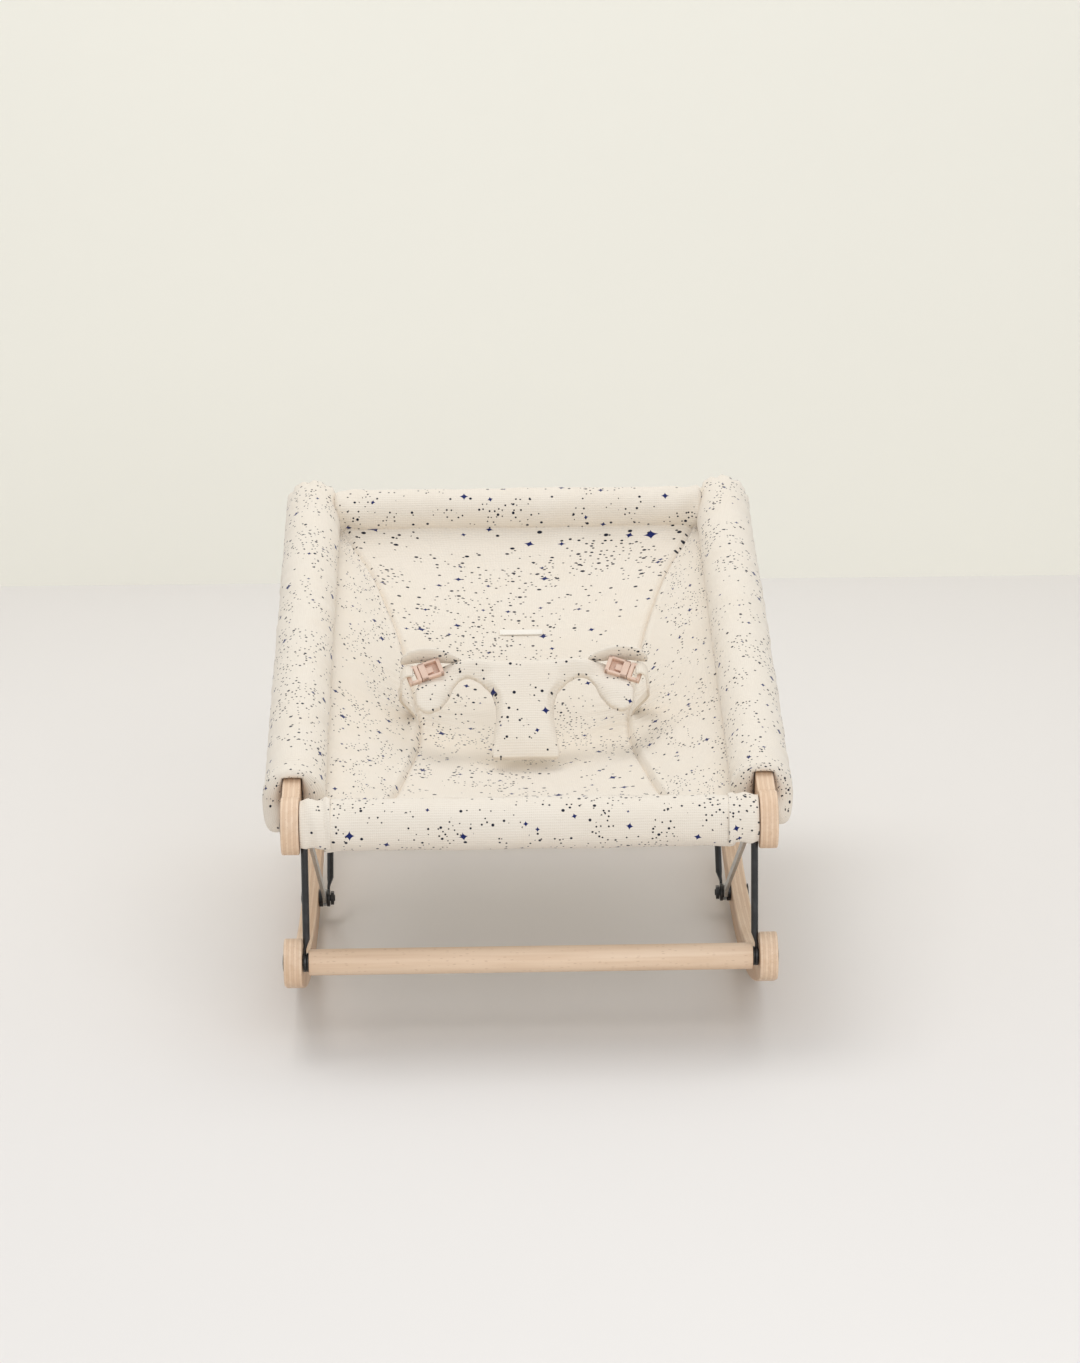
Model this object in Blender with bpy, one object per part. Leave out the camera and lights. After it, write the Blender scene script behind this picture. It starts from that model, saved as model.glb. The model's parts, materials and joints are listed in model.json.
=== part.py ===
"""Folding baby bouncer seat: rocker base, folding steel linkage and a padded cloth seat.

Units are metres, +Z is up, +Y points from the front to the head end and X is the width.
The origin is on the floor between the runners, where they touch it at rest.
"""
import math

import bmesh
import bpy
from mathutils import Matrix, Vector

# ---- driving dimensions -------------------------------------------------------------
FRAME_WIDTH = 0.410          # over the outer faces of the runners and of the rails
PLY_THICKNESS = 0.015        # plywood of the runners and the rails
GAP = 0.0003                 # between pieces that touch

# rocker base
PIVOT_HEIGHT = 0.077         # front lower pivot above the floor
RUNNER_HALF_LENGTH = 0.314   # from the lowest point to either end dowel
RUNNER_HEIGHT = 0.026        # plywood arm of a runner
RUNNER_END_RADIUS = 0.020
RUNNER_FACETS = 27           # odd, so that one flat lies at the lowest point
LOWER_DOWEL_RADIUS = 0.011

# linkage
FRONT_LEG_LENGTH = 0.1165
FRONT_LEG_LEAN = math.radians(2.3)
FOOT_PIVOT_Y = 0.061         # rear legs' foot pivot, behind the runners' lowest point
FOOT_PIVOT_Z = 0.022
RAIL_SPAN = 0.620            # front upper pivot to head pivot
RAIL_TILT = math.radians(13.3)
ROD_RADIUS = 0.003
EYE_RADIUS = 0.008
EYE_THICKNESS = 0.0028
EYE_WALL = 0.0036            # steel round a rear leg's slot
NECK_LENGTH = 0.016          # flattened stretch from an eye's centre to the round rod
NECK_HALF_HEIGHT = 0.0035
STAY_THICKNESS = 0.003
STAY_HALF_HEIGHT = 0.0035
HOOK_LENGTH = 0.017
HOOK_WALL = 0.003            # steel round the hook's opening
HOOK_SLOPE = math.radians(52)   # ramp that lets the hook ride off the bushing
SLOT_ALONG = 0.0028          # half travel of the head bolt along a rear leg's slot
SLOT_SIDE = 0.0022           # and across it
SLOT_CENTRE = (-0.0020, 0.0024)   # slot's centre from the bolt at rest, across and along
PIVOT_PLAY = 0.0003
CUT_OVER = 0.002             # how far a cutter runs past the piece it cuts

# fasteners
BOLT_RADIUS = 0.003
BOLT_HEAD_RADIUS = 0.008
BOLT_HEAD_HEIGHT = 0.0012
BOLT_IN_DOWEL = 0.030
TIP_ROOM = 0.002             # between a bolt's tip and the end of its hole
WASHER_RADIUS = 0.008
WASHER_THICKNESS = 0.0014
NUT_RADIUS = 0.0065
NUT_HEIGHT = 0.003
BUSHING_RADIUS = 0.005
HEAD_WASHER_RADIUS = 0.013
HEAD_NECK_LENGTH = HEAD_WASHER_RADIUS + 0.008   # flat stretch that clears the head washer

# seat frame
RAIL_HALF_HEIGHT = 0.017
RAIL_END_RADIUS = 0.024
SHOULDER_FILLET = 0.012
UPPER_DOWEL_RADIUS = 0.014
HEAD_DOWEL_RADIUS = 0.011

# padding
SIDE_ROLL_RADIUS = 0.0256
SIDE_ROLL_OFFSET = 0.0015    # roll centre inward of the plywood's middle
SIDE_ROLL_START = 0.050      # hem, from the front upper pivot along the rail
SIDE_ROLL_OVERHANG = 0.034   # closed end beyond the head pivot
LEG_SLIT = 0.080             # opening in the roll that lets a rear leg reach the head bolt
STAY_SLIT = 0.040            # cut-away under the hem that a folding stay swings into
FRONT_ROLL_RADIUS = 0.0215
HEAD_ROLL_RADIUS = 0.0205
HEAD_ROLL_LIFT = 0.003       # cloth lies thicker on top of the head dowel
TAB_WIDTH = 0.016
TAB_START, TAB_END = math.radians(10), math.radians(189)
SLING_THICKNESS = 0.005
SLING_FLAT_HALF = 0.092      # centre panel, half width
SEAT_SAG, HIP_SAG, BACK_SAG = 0.048, 0.066, 0.046

# restraint and buckles
PAD_THICKNESS = 0.012
CROTCH_HALF_WIDTH = 0.030
WING_HALF_WIDTH = 0.092
PAD_HEIGHT = 0.100
PAD_FOOT = 0.187             # along the rail
PAD_SLOPE = math.radians(38.2)
BUCKLE_PLACE = PAD_HEIGHT * 0.76   # buckle middle above the pad's foot, along the pad
BUCKLE_WIDTH = 0.020
SOCKET_LENGTH = 0.022
SOCKET_THICKNESS = 0.008
BUCKLE_WALL = 0.0015
PLUG_REACH = 0.013           # tongue inside its socket
PLUG_BODY = 0.012
PLUG_TRAVEL = 0.014          # pull that frees the tongue
STRAP_WIDTH = 0.015
STRAP_THICKNESS = 0.002
LABEL_SIZE = (0.040, 0.007, 0.0008)

# ---- derived places -----------------------------------------------------------------
INNER_X = FRAME_WIDTH / 2 - PLY_THICKNESS
OUTER_X = FRAME_WIDTH / 2
FRONT_PIVOT = Vector((0, -RUNNER_HALF_LENGTH, PIVOT_HEIGHT))
FRONT_TOP = FRONT_PIVOT + FRONT_LEG_LENGTH * Vector((0, math.sin(FRONT_LEG_LEAN), math.cos(FRONT_LEG_LEAN)))
ALONG = Vector((0, math.cos(RAIL_TILT), math.sin(RAIL_TILT)))
HEAD_PIVOT = FRONT_TOP + RAIL_SPAN * ALONG
FOOT_PIVOT = Vector((0, FOOT_PIVOT_Y, FOOT_PIVOT_Z))
REAR_DOWEL = Vector((0, RUNNER_HALF_LENGTH, PIVOT_HEIGHT))
ROCKER_RADIUS = (RUNNER_HALF_LENGTH ** 2 + PIVOT_HEIGHT ** 2 - RUNNER_END_RADIUS ** 2) / (
    2 * (PIVOT_HEIGHT - RUNNER_END_RADIUS))

# places across the width, from the plywood inwards
LEG_EYE_X = INNER_X - 2 * GAP - EYE_THICKNESS / 2
FRONT_ROD_X = INNER_X - 2 * GAP - ROD_RADIUS
STAY_X = LEG_EYE_X - EYE_THICKNESS / 2 - 2 * GAP - STAY_THICKNESS / 2
REAR_ROD_X = STAY_X - STAY_THICKNESS / 2 - GAP - ROD_RADIUS
REAR_EYE_X = REAR_ROD_X + ROD_RADIUS - 0.0004 - EYE_THICKNESS / 2
LOWER_WASHER_X = LEG_EYE_X - EYE_THICKNESS / 2 - GAP - WASHER_THICKNESS / 2
UPPER_WASHER_X = STAY_X - STAY_THICKNESS / 2 - GAP - WASHER_THICKNESS / 2
HEAD_WASHER_X = REAR_EYE_X - EYE_THICKNESS / 2 - GAP - WASHER_THICKNESS / 2

SIDES = (("left", -1), ("right", 1))

PALETTE = {
    "beech": ((0.80, 0.60, 0.42), 0.55, 0.0),
    "black_steel": ((0.02, 0.02, 0.022), 0.42, 0.6),
    "zinc_steel": ((0.55, 0.55, 0.54), 0.35, 1.0),
    "dotted_gauze": ((0.86, 0.80, 0.70), 0.9, 0.0),
    "pink_plastic": ((0.78, 0.60, 0.50), 0.45, 0.0),
    "label_tape": ((0.90, 0.85, 0.76), 0.85, 0.0),
}


# ---- helpers ------------------------------------------------------------------------
def material(name, finish):
    """Principled material of one piece."""
    colour, roughness, metallic = PALETTE[finish]
    made = bpy.data.materials.new(name)
    made.use_nodes = True
    shader = made.node_tree.nodes["Principled BSDF"]
    shader.inputs["Base Color"].default_value = (*colour, 1)
    shader.inputs["Roughness"].default_value = roughness
    shader.inputs["Metallic"].default_value = metallic
    return made


def place(name, bm, finish, parent=None, location=(0, 0, 0), turn=0.0, smooth=True):
    """Make an object of a bmesh, turned about X and put under a parent."""
    bmesh.ops.remove_doubles(bm, verts=bm.verts, dist=1e-6)
    bmesh.ops.recalc_face_normals(bm, faces=bm.faces)
    mesh = bpy.data.meshes.new(name)
    bm.to_mesh(mesh)
    bm.free()
    if smooth:
        mesh.shade_smooth()
        mesh.set_sharp_from_angle(angle=math.radians(35))
    made = bpy.data.objects.new(name, mesh)
    bpy.context.collection.objects.link(made)
    mesh.materials.append(material(name, finish))
    made.parent = parent
    made.location = location
    made.rotation_euler = (turn, 0, 0)
    return made


def pivot(name, location, turn=0.0):
    """Empty on a joint's axis."""
    made = bpy.data.objects.new(name, None)
    bpy.context.collection.objects.link(made)
    made.location = location
    made.rotation_euler = (turn, 0, 0)
    return made


def plate(outline, x_low, x_high):
    """Flat piece with an outline in Y and Z, between two X values."""
    bm = bmesh.new()
    corners = [bm.verts.new((x_low, y, z)) for y, z in outline]
    face = bm.faces.new(corners)
    grown = bmesh.ops.extrude_face_region(bm, geom=[face])
    moved = [item for item in grown["geom"] if isinstance(item, bmesh.types.BMVert)]
    bmesh.ops.translate(bm, verts=moved, vec=(x_high - x_low, 0, 0))
    return bm


def bar(radius, x_low, x_high, segments=24, centre=(0, 0)):
    """Round bar along X around a centre in Y and Z."""
    bm = bmesh.new()
    turn = Matrix.Translation(((x_low + x_high) / 2, *centre)) @ Matrix.Rotation(math.pi / 2, 4, "Y")
    bmesh.ops.create_cone(
        bm, cap_ends=True, segments=segments, radius1=radius, radius2=radius, depth=x_high - x_low,
        matrix=turn)
    return bm


def box(low, high):
    """Box between two corners."""
    bm = bmesh.new()
    size = [b - a for a, b in zip(low, high)]
    middle = [(a + b) / 2 for a, b in zip(low, high)]
    bmesh.ops.create_cube(bm, size=1, matrix=Matrix.Translation(middle) @ Matrix.Diagonal((*size, 1)))
    return bm


def boolean(target, bm, operation="DIFFERENCE"):
    """Cut or join a shape given in the target's own frame."""
    tool = place(target.name + "_tool", bm, "beech", target, smooth=False)
    tool.hide_render = True
    tool.display_type = "WIRE"
    step = target.modifiers.new(operation.lower(), "BOOLEAN")
    step.operation = operation
    step.solver = "EXACT"
    step.object = tool
    return target


def arc(centre, radius, start, end, steps):
    """Points of an arc in Y and Z, angles in radians from +Y."""
    points = []
    for i in range(steps + 1):
        angle = start + (end - start) * i / steps
        points.append((centre[0] + radius * math.cos(angle), centre[1] + radius * math.sin(angle)))
    return points


def span(side, near, far):
    """Low and high X of a stretch on one side, from two distances off the middle."""
    return tuple(sorted((side * near, side * far)))


def shoulder(radius, half, fillet):
    """Distance from an end disc's centre to where its fillet meets the arm, and the touch angle."""
    rise = half + fillet
    run = math.sqrt((radius + fillet) ** 2 - rise ** 2)
    return run, math.atan2(rise, run)


# ---- rocker base --------------------------------------------------------------------
def runner_outline():
    """Outline of a runner, laid out straight and then bent round the rocker's centre."""
    length = 2 * ROCKER_RADIUS * math.asin(RUNNER_HALF_LENGTH / (ROCKER_RADIUS - RUNNER_END_RADIUS))
    top = RUNNER_HEIGHT - RUNNER_END_RADIUS
    run, touch = shoulder(RUNNER_END_RADIUS, top, SHOULDER_FILLET)
    r = RUNNER_END_RADIUS
    straight = arc((length, r), r, -math.pi / 2, math.pi - touch, 14)[1:]
    straight += arc((length - run, RUNNER_HEIGHT + SHOULDER_FILLET), SHOULDER_FILLET,
                    -touch, -math.pi / 2, 4)[1:]
    inner_steps = 20
    for i in range(1, inner_steps):
        straight.append((length - run - (length - 2 * run) * i / inner_steps, RUNNER_HEIGHT))
    straight += arc((run, RUNNER_HEIGHT + SHOULDER_FILLET), SHOULDER_FILLET,
                    -math.pi / 2, touch - math.pi, 4)
    straight += arc((0, r), r, touch, 3 * math.pi / 2, 14)[1:-1]
    half_angle = length / ROCKER_RADIUS / 2

    def bend(s, h, radius=ROCKER_RADIUS):
        angle = -math.pi / 2 - half_angle + s / ROCKER_RADIUS
        return (radius - h) * math.cos(angle), ROCKER_RADIUS + (radius - h) * math.sin(angle)

    step = length / RUNNER_FACETS
    outside = ROCKER_RADIUS / math.cos(step / ROCKER_RADIUS / 2)
    rolling = [bend(step * i, 0, outside) for i in range(RUNNER_FACETS + 1)]
    return rolling + [bend(s, h) for s, h in straight]


def bolt_hole(target, side, centre):
    """Clearance hole along X for a bolt, in the plywood."""
    x_low, x_high = span(side, INNER_X - CUT_OVER, OUTER_X + CUT_OVER)
    return boolean(target, bar(BOLT_RADIUS + PIVOT_PLAY, x_low, x_high, 20, centre))


def dowel(name, radius, half, location, parent=None):
    """Round dowel across the width, with a bolt hole in each end."""
    made = place(name, bar(radius, -half, half, 28), "beech", parent, location)
    for _, side in SIDES:
        x_low, x_high = span(side, half - BOLT_IN_DOWEL - TIP_ROOM, half + CUT_OVER)
        boolean(made, bar(BOLT_RADIUS + PIVOT_PLAY, x_low, x_high, 20))
    return made


def bolt(name, side, tip, location, parent=None, finish="black_steel"):
    """Low-headed bolt from the plywood's outer face inwards to a tip."""
    start = OUTER_X + GAP
    shank = bar(BOLT_RADIUS, *span(side, tip, start), 16)
    made = place(name, shank, finish, parent, location)
    head = bar(BOLT_HEAD_RADIUS, *span(side, start - 0.0001, start + BOLT_HEAD_HEIGHT), 24)
    return boolean(made, head, "UNION")


def ring(name, radius, side, middle, thickness, location, parent=None, finish="black_steel"):
    """Flat washer around a bolt."""
    x_low, x_high = span(side, middle - thickness / 2, middle + thickness / 2)
    made = place(name, bar(radius, x_low, x_high, 24), finish, parent, location)
    return boolean(made, bar(BOLT_RADIUS + PIVOT_PLAY, x_low - CUT_OVER, x_high + CUT_OVER, 20))


def foot_bushing(name, side):
    """Black bushing on the foot bolt: a disc against the runner and a neck for the stay's hook."""
    disc_inner = STAY_X + STAY_THICKNESS / 2 + GAP
    neck_inner = REAR_EYE_X + EYE_THICKNESS / 2 + GAP
    disc = bar(WASHER_RADIUS, *span(side, disc_inner, INNER_X - GAP), 24)
    made = place(name, disc, "black_steel", None, FOOT_PIVOT)
    boolean(made, bar(BUSHING_RADIUS, *span(side, neck_inner, disc_inner + 0.001), 20), "UNION")
    x_low, x_high = span(side, neck_inner - CUT_OVER, INNER_X + CUT_OVER)
    return boolean(made, bar(BOLT_RADIUS + PIVOT_PLAY, x_low, x_high, 20))


def foot_nut(name, side):
    """Hexagon nut on the foot bolt, inside the rear leg's eye."""
    outer = REAR_EYE_X - EYE_THICKNESS / 2 - GAP
    x_low, x_high = span(side, outer - NUT_HEIGHT, outer)
    made = place(name, bar(NUT_RADIUS, x_low, x_high, 6), "black_steel", None, FOOT_PIVOT, smooth=False)
    return boolean(made, bar(BOLT_RADIUS + PIVOT_PLAY, x_low - CUT_OVER, x_high + CUT_OVER, 20))


def build_base():
    outline = runner_outline()
    front_end = LOWER_WASHER_X - WASHER_THICKNESS / 2 - GAP
    for word, side in SIDES:
        runner = place("runner_" + word, plate(outline, *span(side, INNER_X, OUTER_X)), "beech")
        for centre in (FRONT_PIVOT, REAR_DOWEL, FOOT_PIVOT):
            bolt_hole(runner, side, (centre.y, centre.z))
        bolt("front_lower_bolt_" + word, side, front_end - BOLT_IN_DOWEL + TIP_ROOM, FRONT_PIVOT)
        bolt("rear_dowel_bolt_" + word, side, INNER_X - BOLT_IN_DOWEL + TIP_ROOM, REAR_DOWEL)
        foot_tip = REAR_EYE_X - EYE_THICKNESS / 2 - GAP - NUT_HEIGHT - TIP_ROOM / 2
        bolt("foot_bolt_" + word, side, foot_tip, FOOT_PIVOT)
        ring("front_lower_washer_" + word, WASHER_RADIUS, side, LOWER_WASHER_X, WASHER_THICKNESS,
             FRONT_PIVOT)
        foot_bushing("foot_bushing_" + word, side)
        foot_nut("foot_nut_" + word, side)
    dowel("lower_front_dowel", LOWER_DOWEL_RADIUS, front_end, FRONT_PIVOT)
    dowel("lower_rear_dowel", LOWER_DOWEL_RADIUS, INNER_X - GAP, REAR_DOWEL)


# ---- folding linkage ----------------------------------------------------------------
def eye_outline(radius, neck, at, towards):
    """Round eye with a flat neck, standing along Z: its neck points up for +1 or down for -1."""
    side = NECK_HALF_HEIGHT
    spread = math.asin(side / radius)
    start = math.pi / 2 * towards
    points = arc((0, at), radius, start + spread, start + math.pi, 8)
    points += arc((0, at), radius, start + math.pi, start + 2 * math.pi - spread, 8)[1:]
    tip = at + towards * neck
    return points + [(side * towards, tip), (-side * towards, tip)]


def link_rod(name, side, length, eye_x, rod_x, parent, turn, slot=None):
    """Steel rod with a flattened, drilled eye at each end, standing on its foot pivot."""
    rod = bmesh.new()
    top_neck = NECK_LENGTH if slot is None else HEAD_NECK_LENGTH
    low, high = NECK_LENGTH - 0.004, length - top_neck + 0.004
    middle = Matrix.Translation((side * rod_x, 0, (low + high) / 2))
    bmesh.ops.create_cone(rod, cap_ends=True, segments=14, radius1=ROD_RADIUS, radius2=ROD_RADIUS,
                          depth=high - low, matrix=middle)
    made = place(name, rod, "black_steel", parent, (0, 0, 0), turn)
    faces = span(side, eye_x - EYE_THICKNESS / 2, eye_x + EYE_THICKNESS / 2)
    boolean(made, plate(eye_outline(EYE_RADIUS, NECK_LENGTH, 0, 1), *faces), "UNION")
    cut = span(side, eye_x - 0.006, eye_x + 0.006)
    boolean(made, bar(BOLT_RADIUS + PIVOT_PLAY, *cut, 20))
    if slot is None:
        boolean(made, plate(eye_outline(EYE_RADIUS, NECK_LENGTH, length, -1), *faces), "UNION")
        return boolean(made, bar(BOLT_RADIUS + PIVOT_PLAY, *cut, 20, (0, length)))
    hole, shift = slot
    grown = hole + EYE_WALL
    head = [(y + shift[0], z + shift[1] + length) for y, z in slot_outline(grown, SLOT_ALONG)]
    boolean(made, plate(head, *faces), "UNION")
    neck_low, neck_high = length - top_neck, length - hole - 0.001
    neck = [(-NECK_HALF_HEIGHT, neck_low), (NECK_HALF_HEIGHT, neck_low),
            (NECK_HALF_HEIGHT, neck_high), (-NECK_HALF_HEIGHT, neck_high)]
    boolean(made, plate(neck, *faces), "UNION")
    opening = [(y + shift[0], z + shift[1] + length) for y, z in slot_outline(hole, SLOT_ALONG)]
    return boolean(made, plate(opening, *cut))


def slot_outline(radius, half):
    """Round-ended slot standing along Z."""
    return arc((0, half), radius, 0, math.pi, 10) + arc((0, -half), radius, math.pi, 2 * math.pi, 10)


def build_front_legs():
    hub = pivot("front_leg_pivot", FRONT_PIVOT)
    for word, side in SIDES:
        link_rod("front_leg_" + word, side, FRONT_LEG_LENGTH, LEG_EYE_X, FRONT_ROD_X, hub, -FRONT_LEG_LEAN)


def build_rear_legs():
    hub = pivot("rear_leg_pivot", FOOT_PIVOT)
    reach = HEAD_PIVOT - FOOT_PIVOT
    lean = math.atan2(reach.y, reach.z)
    slot = (BOLT_RADIUS + SLOT_SIDE + PIVOT_PLAY, SLOT_CENTRE)
    for word, side in SIDES:
        link_rod("rear_leg_" + word, side, reach.length, REAR_EYE_X, REAR_ROD_X, hub, -lean, slot)


def stay_outline(length):
    """Flat bar with an eye at its root and, at its tip, a hook that drops over the foot bushing."""
    root_spread = math.asin(STAY_HALF_HEIGHT / EYE_RADIUS)
    points = arc((0, 0), EYE_RADIUS, root_spread, 2 * math.pi - root_spread, 16)
    seat = BUSHING_RADIUS + PIVOT_PLAY
    wall = seat + HOOK_WALL
    foot = seat + 0.001
    mouth = length - seat / math.sin(HOOK_SLOPE) - foot / math.tan(HOOK_SLOPE)
    points += [(length - HOOK_LENGTH - 2 * HOOK_WALL, -STAY_HALF_HEIGHT), (mouth - HOOK_WALL, -foot)]
    points += [(mouth, -foot)]
    touch = math.pi / 2 + HOOK_SLOPE
    points += arc((length, 0), seat, touch, 0, 8)
    points += [(length + seat, -foot), (length + wall, -foot)]
    points += arc((length, 0), wall, 0, math.pi / 2 + 0.7, 8)
    points += [(length - HOOK_LENGTH, STAY_HALF_HEIGHT)]
    return points


def build_stays():
    reach = FOOT_PIVOT - FRONT_TOP
    turn = math.atan2(reach.z, reach.y)
    hub = pivot("stay_pivot", FRONT_TOP)
    for word, side in SIDES:
        faces = span(side, STAY_X - STAY_THICKNESS / 2, STAY_X + STAY_THICKNESS / 2)
        bar_shape = plate(stay_outline(reach.length), *faces)
        made = place("stay_" + word, bar_shape, "zinc_steel", hub, (0, 0, 0), turn)
        cut = span(side, STAY_X - 2 * STAY_THICKNESS, STAY_X + 2 * STAY_THICKNESS)
        boolean(made, bar(BOLT_RADIUS + PIVOT_PLAY, *cut, 20))


# ---- seat frame ---------------------------------------------------------------------
def rail_outline():
    run, touch = shoulder(RAIL_END_RADIUS, RAIL_HALF_HEIGHT, SHOULDER_FILLET)
    level = RAIL_HALF_HEIGHT + SHOULDER_FILLET
    points = arc((0, 0), RAIL_END_RADIUS, touch, 2 * math.pi - touch, 24)
    points += arc((run, -level), SHOULDER_FILLET, math.pi - touch, math.pi / 2, 4)[1:]
    points += arc((RAIL_SPAN, 0), RAIL_HALF_HEIGHT, -math.pi / 2, math.pi / 2, 12)
    points += arc((run, level), SHOULDER_FILLET, -math.pi / 2, -math.pi + touch, 4)[:-1]
    return points


def build_seat_frame(seat):
    upper_end = UPPER_WASHER_X - WASHER_THICKNESS / 2 - GAP
    head_end = HEAD_WASHER_X - WASHER_THICKNESS / 2 - GAP
    spacer_inner, spacer_outer = REAR_EYE_X + EYE_THICKNESS / 2 + GAP, INNER_X - GAP
    start, head = (0, 0, 0), (0, RAIL_SPAN, 0)
    for word, side in SIDES:
        rail = place("rail_" + word, plate(rail_outline(), *span(side, INNER_X, OUTER_X)), "beech", seat)
        for along in (0, RAIL_SPAN):
            bolt_hole(rail, side, (along, 0))
        bolt("front_upper_bolt_" + word, side, upper_end - BOLT_IN_DOWEL + TIP_ROOM, start, seat)
        bolt("head_bolt_" + word, side, head_end - BOLT_IN_DOWEL + TIP_ROOM, head, seat)
        ring("front_upper_washer_" + word, WASHER_RADIUS, side, UPPER_WASHER_X, WASHER_THICKNESS,
             start, seat)
        ring("head_washer_" + word, HEAD_WASHER_RADIUS, side, HEAD_WASHER_X, WASHER_THICKNESS, head, seat)
        ring("head_spacer_" + word, HEAD_WASHER_RADIUS, side, (spacer_inner + spacer_outer) / 2,
             spacer_outer - spacer_inner, head, seat)
    dowel("upper_front_dowel", UPPER_DOWEL_RADIUS, upper_end, start, seat)
    dowel("head_dowel", HEAD_DOWEL_RADIUS, head_end, head, seat)


# ---- padding ------------------------------------------------------------------------
def side_roll(word, side, seat):
    """Padded sleeve round a rail: open at its hem, closed and rounded at the head end."""
    x_middle = side * (OUTER_X - PLY_THICKNESS / 2 - SIDE_ROLL_OFFSET)
    end = RAIL_SPAN + SIDE_ROLL_OVERHANG
    rings = [(SIDE_ROLL_START, 0.94), (SIDE_ROLL_START + 0.008, 1.0),
             (end - 0.014, 1.0), (end - 0.004, 0.78), (end, 0.45)]
    bm = bmesh.new()
    loops = []
    for along, share in rings:
        made = bmesh.ops.create_circle(
            bm, segments=20, radius=SIDE_ROLL_RADIUS * share,
            matrix=Matrix.Translation((x_middle, along, 0)) @ Matrix.Rotation(math.pi / 2, 4, "X"))
        loops.append(made["verts"])
    for first, second in zip(loops, loops[1:]):
        pair = {edge for loop in (first, second) for vert in loop for edge in vert.link_edges
                if edge.verts[0] in loop and edge.verts[1] in loop}
        bmesh.ops.bridge_loops(bm, edges=list(pair))
    for loop in (loops[0], loops[-1]):
        bm.faces.new(loop)
    made = place("side_roll_" + word, bm, "dotted_gauze", seat)
    x_low, x_high = span(side, INNER_X - GAP, OUTER_X + GAP)
    tall = RAIL_HALF_HEIGHT + GAP
    boolean(made, box((x_low, SIDE_ROLL_START - 0.02, -tall), (x_high, RAIL_SPAN + tall, tall)))
    x_low, x_high = span(side, OUTER_X - 0.001, OUTER_X + BOLT_HEAD_HEIGHT + 3 * GAP)
    wide = BOLT_HEAD_RADIUS + 2 * GAP
    boolean(made, box((x_low, RAIL_SPAN - wide, -wide), (x_high, RAIL_SPAN + wide, wide)))
    x_low, x_high = span(side, INNER_X - 0.030, INNER_X + 0.001)
    reach = BOLT_RADIUS + 2 * SLOT_SIDE + 2 * SLOT_ALONG + EYE_WALL + 0.002
    lowest = -SIDE_ROLL_RADIUS - 0.004
    boolean(made, box((x_low, RAIL_SPAN - LEG_SLIT, lowest), (x_high, RAIL_SPAN + reach, reach)))
    x_low, x_high = span(side, INNER_X - 0.030, INNER_X - GAP - EYE_THICKNESS)
    return boolean(made, box((x_low, 0, lowest), (x_high, SIDE_ROLL_START + STAY_SLIT, -STAY_SLIT / 4)))


def tube(name, radius, bore, half, location, seat):
    """Padded sleeve round a dowel."""
    made = place(name, bar(radius, -half, half, 28), "dotted_gauze", seat, location)
    drop = -location[2]
    return boolean(made, bar(bore, -half - 0.002, half + 0.002, 28, (0, drop)))


def front_tab(word, side, seat):
    """Cloth loop at an end of the front roll, open underneath for the legs and the stay."""
    inner = UPPER_DOWEL_RADIUS + 2 * GAP
    x_low, x_high = span(side, INNER_X - 2 * GAP - TAB_WIDTH, INNER_X - 2 * GAP)
    outline = arc((0, 0), FRONT_ROLL_RADIUS, TAB_START, TAB_END, 18)
    outline += arc((0, 0), inner, TAB_END, TAB_START, 18)
    return place("front_tab_" + word, plate(outline, x_low, x_high), "dotted_gauze", seat)


def smooth_curve(knots, at):
    """Height of a smooth curve through (place, height) knots, by Catmull-Rom."""
    places = [knot[0] for knot in knots]
    i = max(0, min(len(knots) - 2, sum(1 for p in places[1:-1] if p <= at)))
    p0, p1 = knots[max(i - 1, 0)], knots[i]
    p2, p3 = knots[i + 1], knots[min(i + 2, len(knots) - 1)]
    share = (at - p1[0]) / (p2[0] - p1[0])
    slope1 = (p2[1] - p0[1]) / (p2[0] - p0[0])
    slope2 = (p3[1] - p1[1]) / (p3[0] - p1[0])
    width = p2[0] - p1[0]
    a, b = share * share * (3 - 2 * share), share * (1 - share) ** 2
    c = -share * share * (1 - share)
    return p1[1] + (p2[1] - p1[1]) * a + slope1 * width * b + slope2 * width * c


def sling_knots():
    start = FRONT_ROLL_RADIUS + 0.004
    end = RAIL_SPAN - HEAD_ROLL_RADIUS - 0.003
    return [(start, 0.0), (RAIL_SPAN * 0.13, -SEAT_SAG * 0.5), (RAIL_SPAN * 0.305, -SEAT_SAG),
            (RAIL_SPAN * 0.514, -HIP_SAG), (RAIL_SPAN * 0.704, -BACK_SAG), (end, -0.018)]


def sling_height(x, along):
    """Top of the sling in the seat's frame."""
    centre = smooth_curve(sling_knots(), along)
    edge_x = sling_edge()
    share = max(0.0, (abs(x) - SLING_FLAT_HALF) / (edge_x - SLING_FLAT_HALF))
    dip = 0.004 * (1 - min(1.0, abs(x) / SLING_FLAT_HALF) ** 2)
    edge = max(centre, -0.010)
    return centre - dip + (edge - centre) * share ** 1.25


def sling_edge():
    return OUTER_X - PLY_THICKNESS / 2 - SIDE_ROLL_OFFSET - SIDE_ROLL_RADIUS - 0.002


def build_sling(seat):
    knots = sling_knots()
    across, rows = 14, 16
    bm = bmesh.new()
    bmesh.ops.create_grid(bm, x_segments=across, y_segments=rows, size=0.5)
    for vert in bm.verts:
        along = knots[0][0] + (vert.co.y + 0.5) * (knots[-1][0] - knots[0][0])
        x = vert.co.x * 2 * sling_edge()
        vert.co = (x, along, sling_height(x, along))
    grown = bmesh.ops.extrude_face_region(bm, geom=bm.faces[:])
    moved = [item for item in grown["geom"] if isinstance(item, bmesh.types.BMVert)]
    bmesh.ops.translate(bm, verts=moved, vec=(0, 0, -SLING_THICKNESS))
    place("seat_sling", bm, "dotted_gauze", seat)


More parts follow.
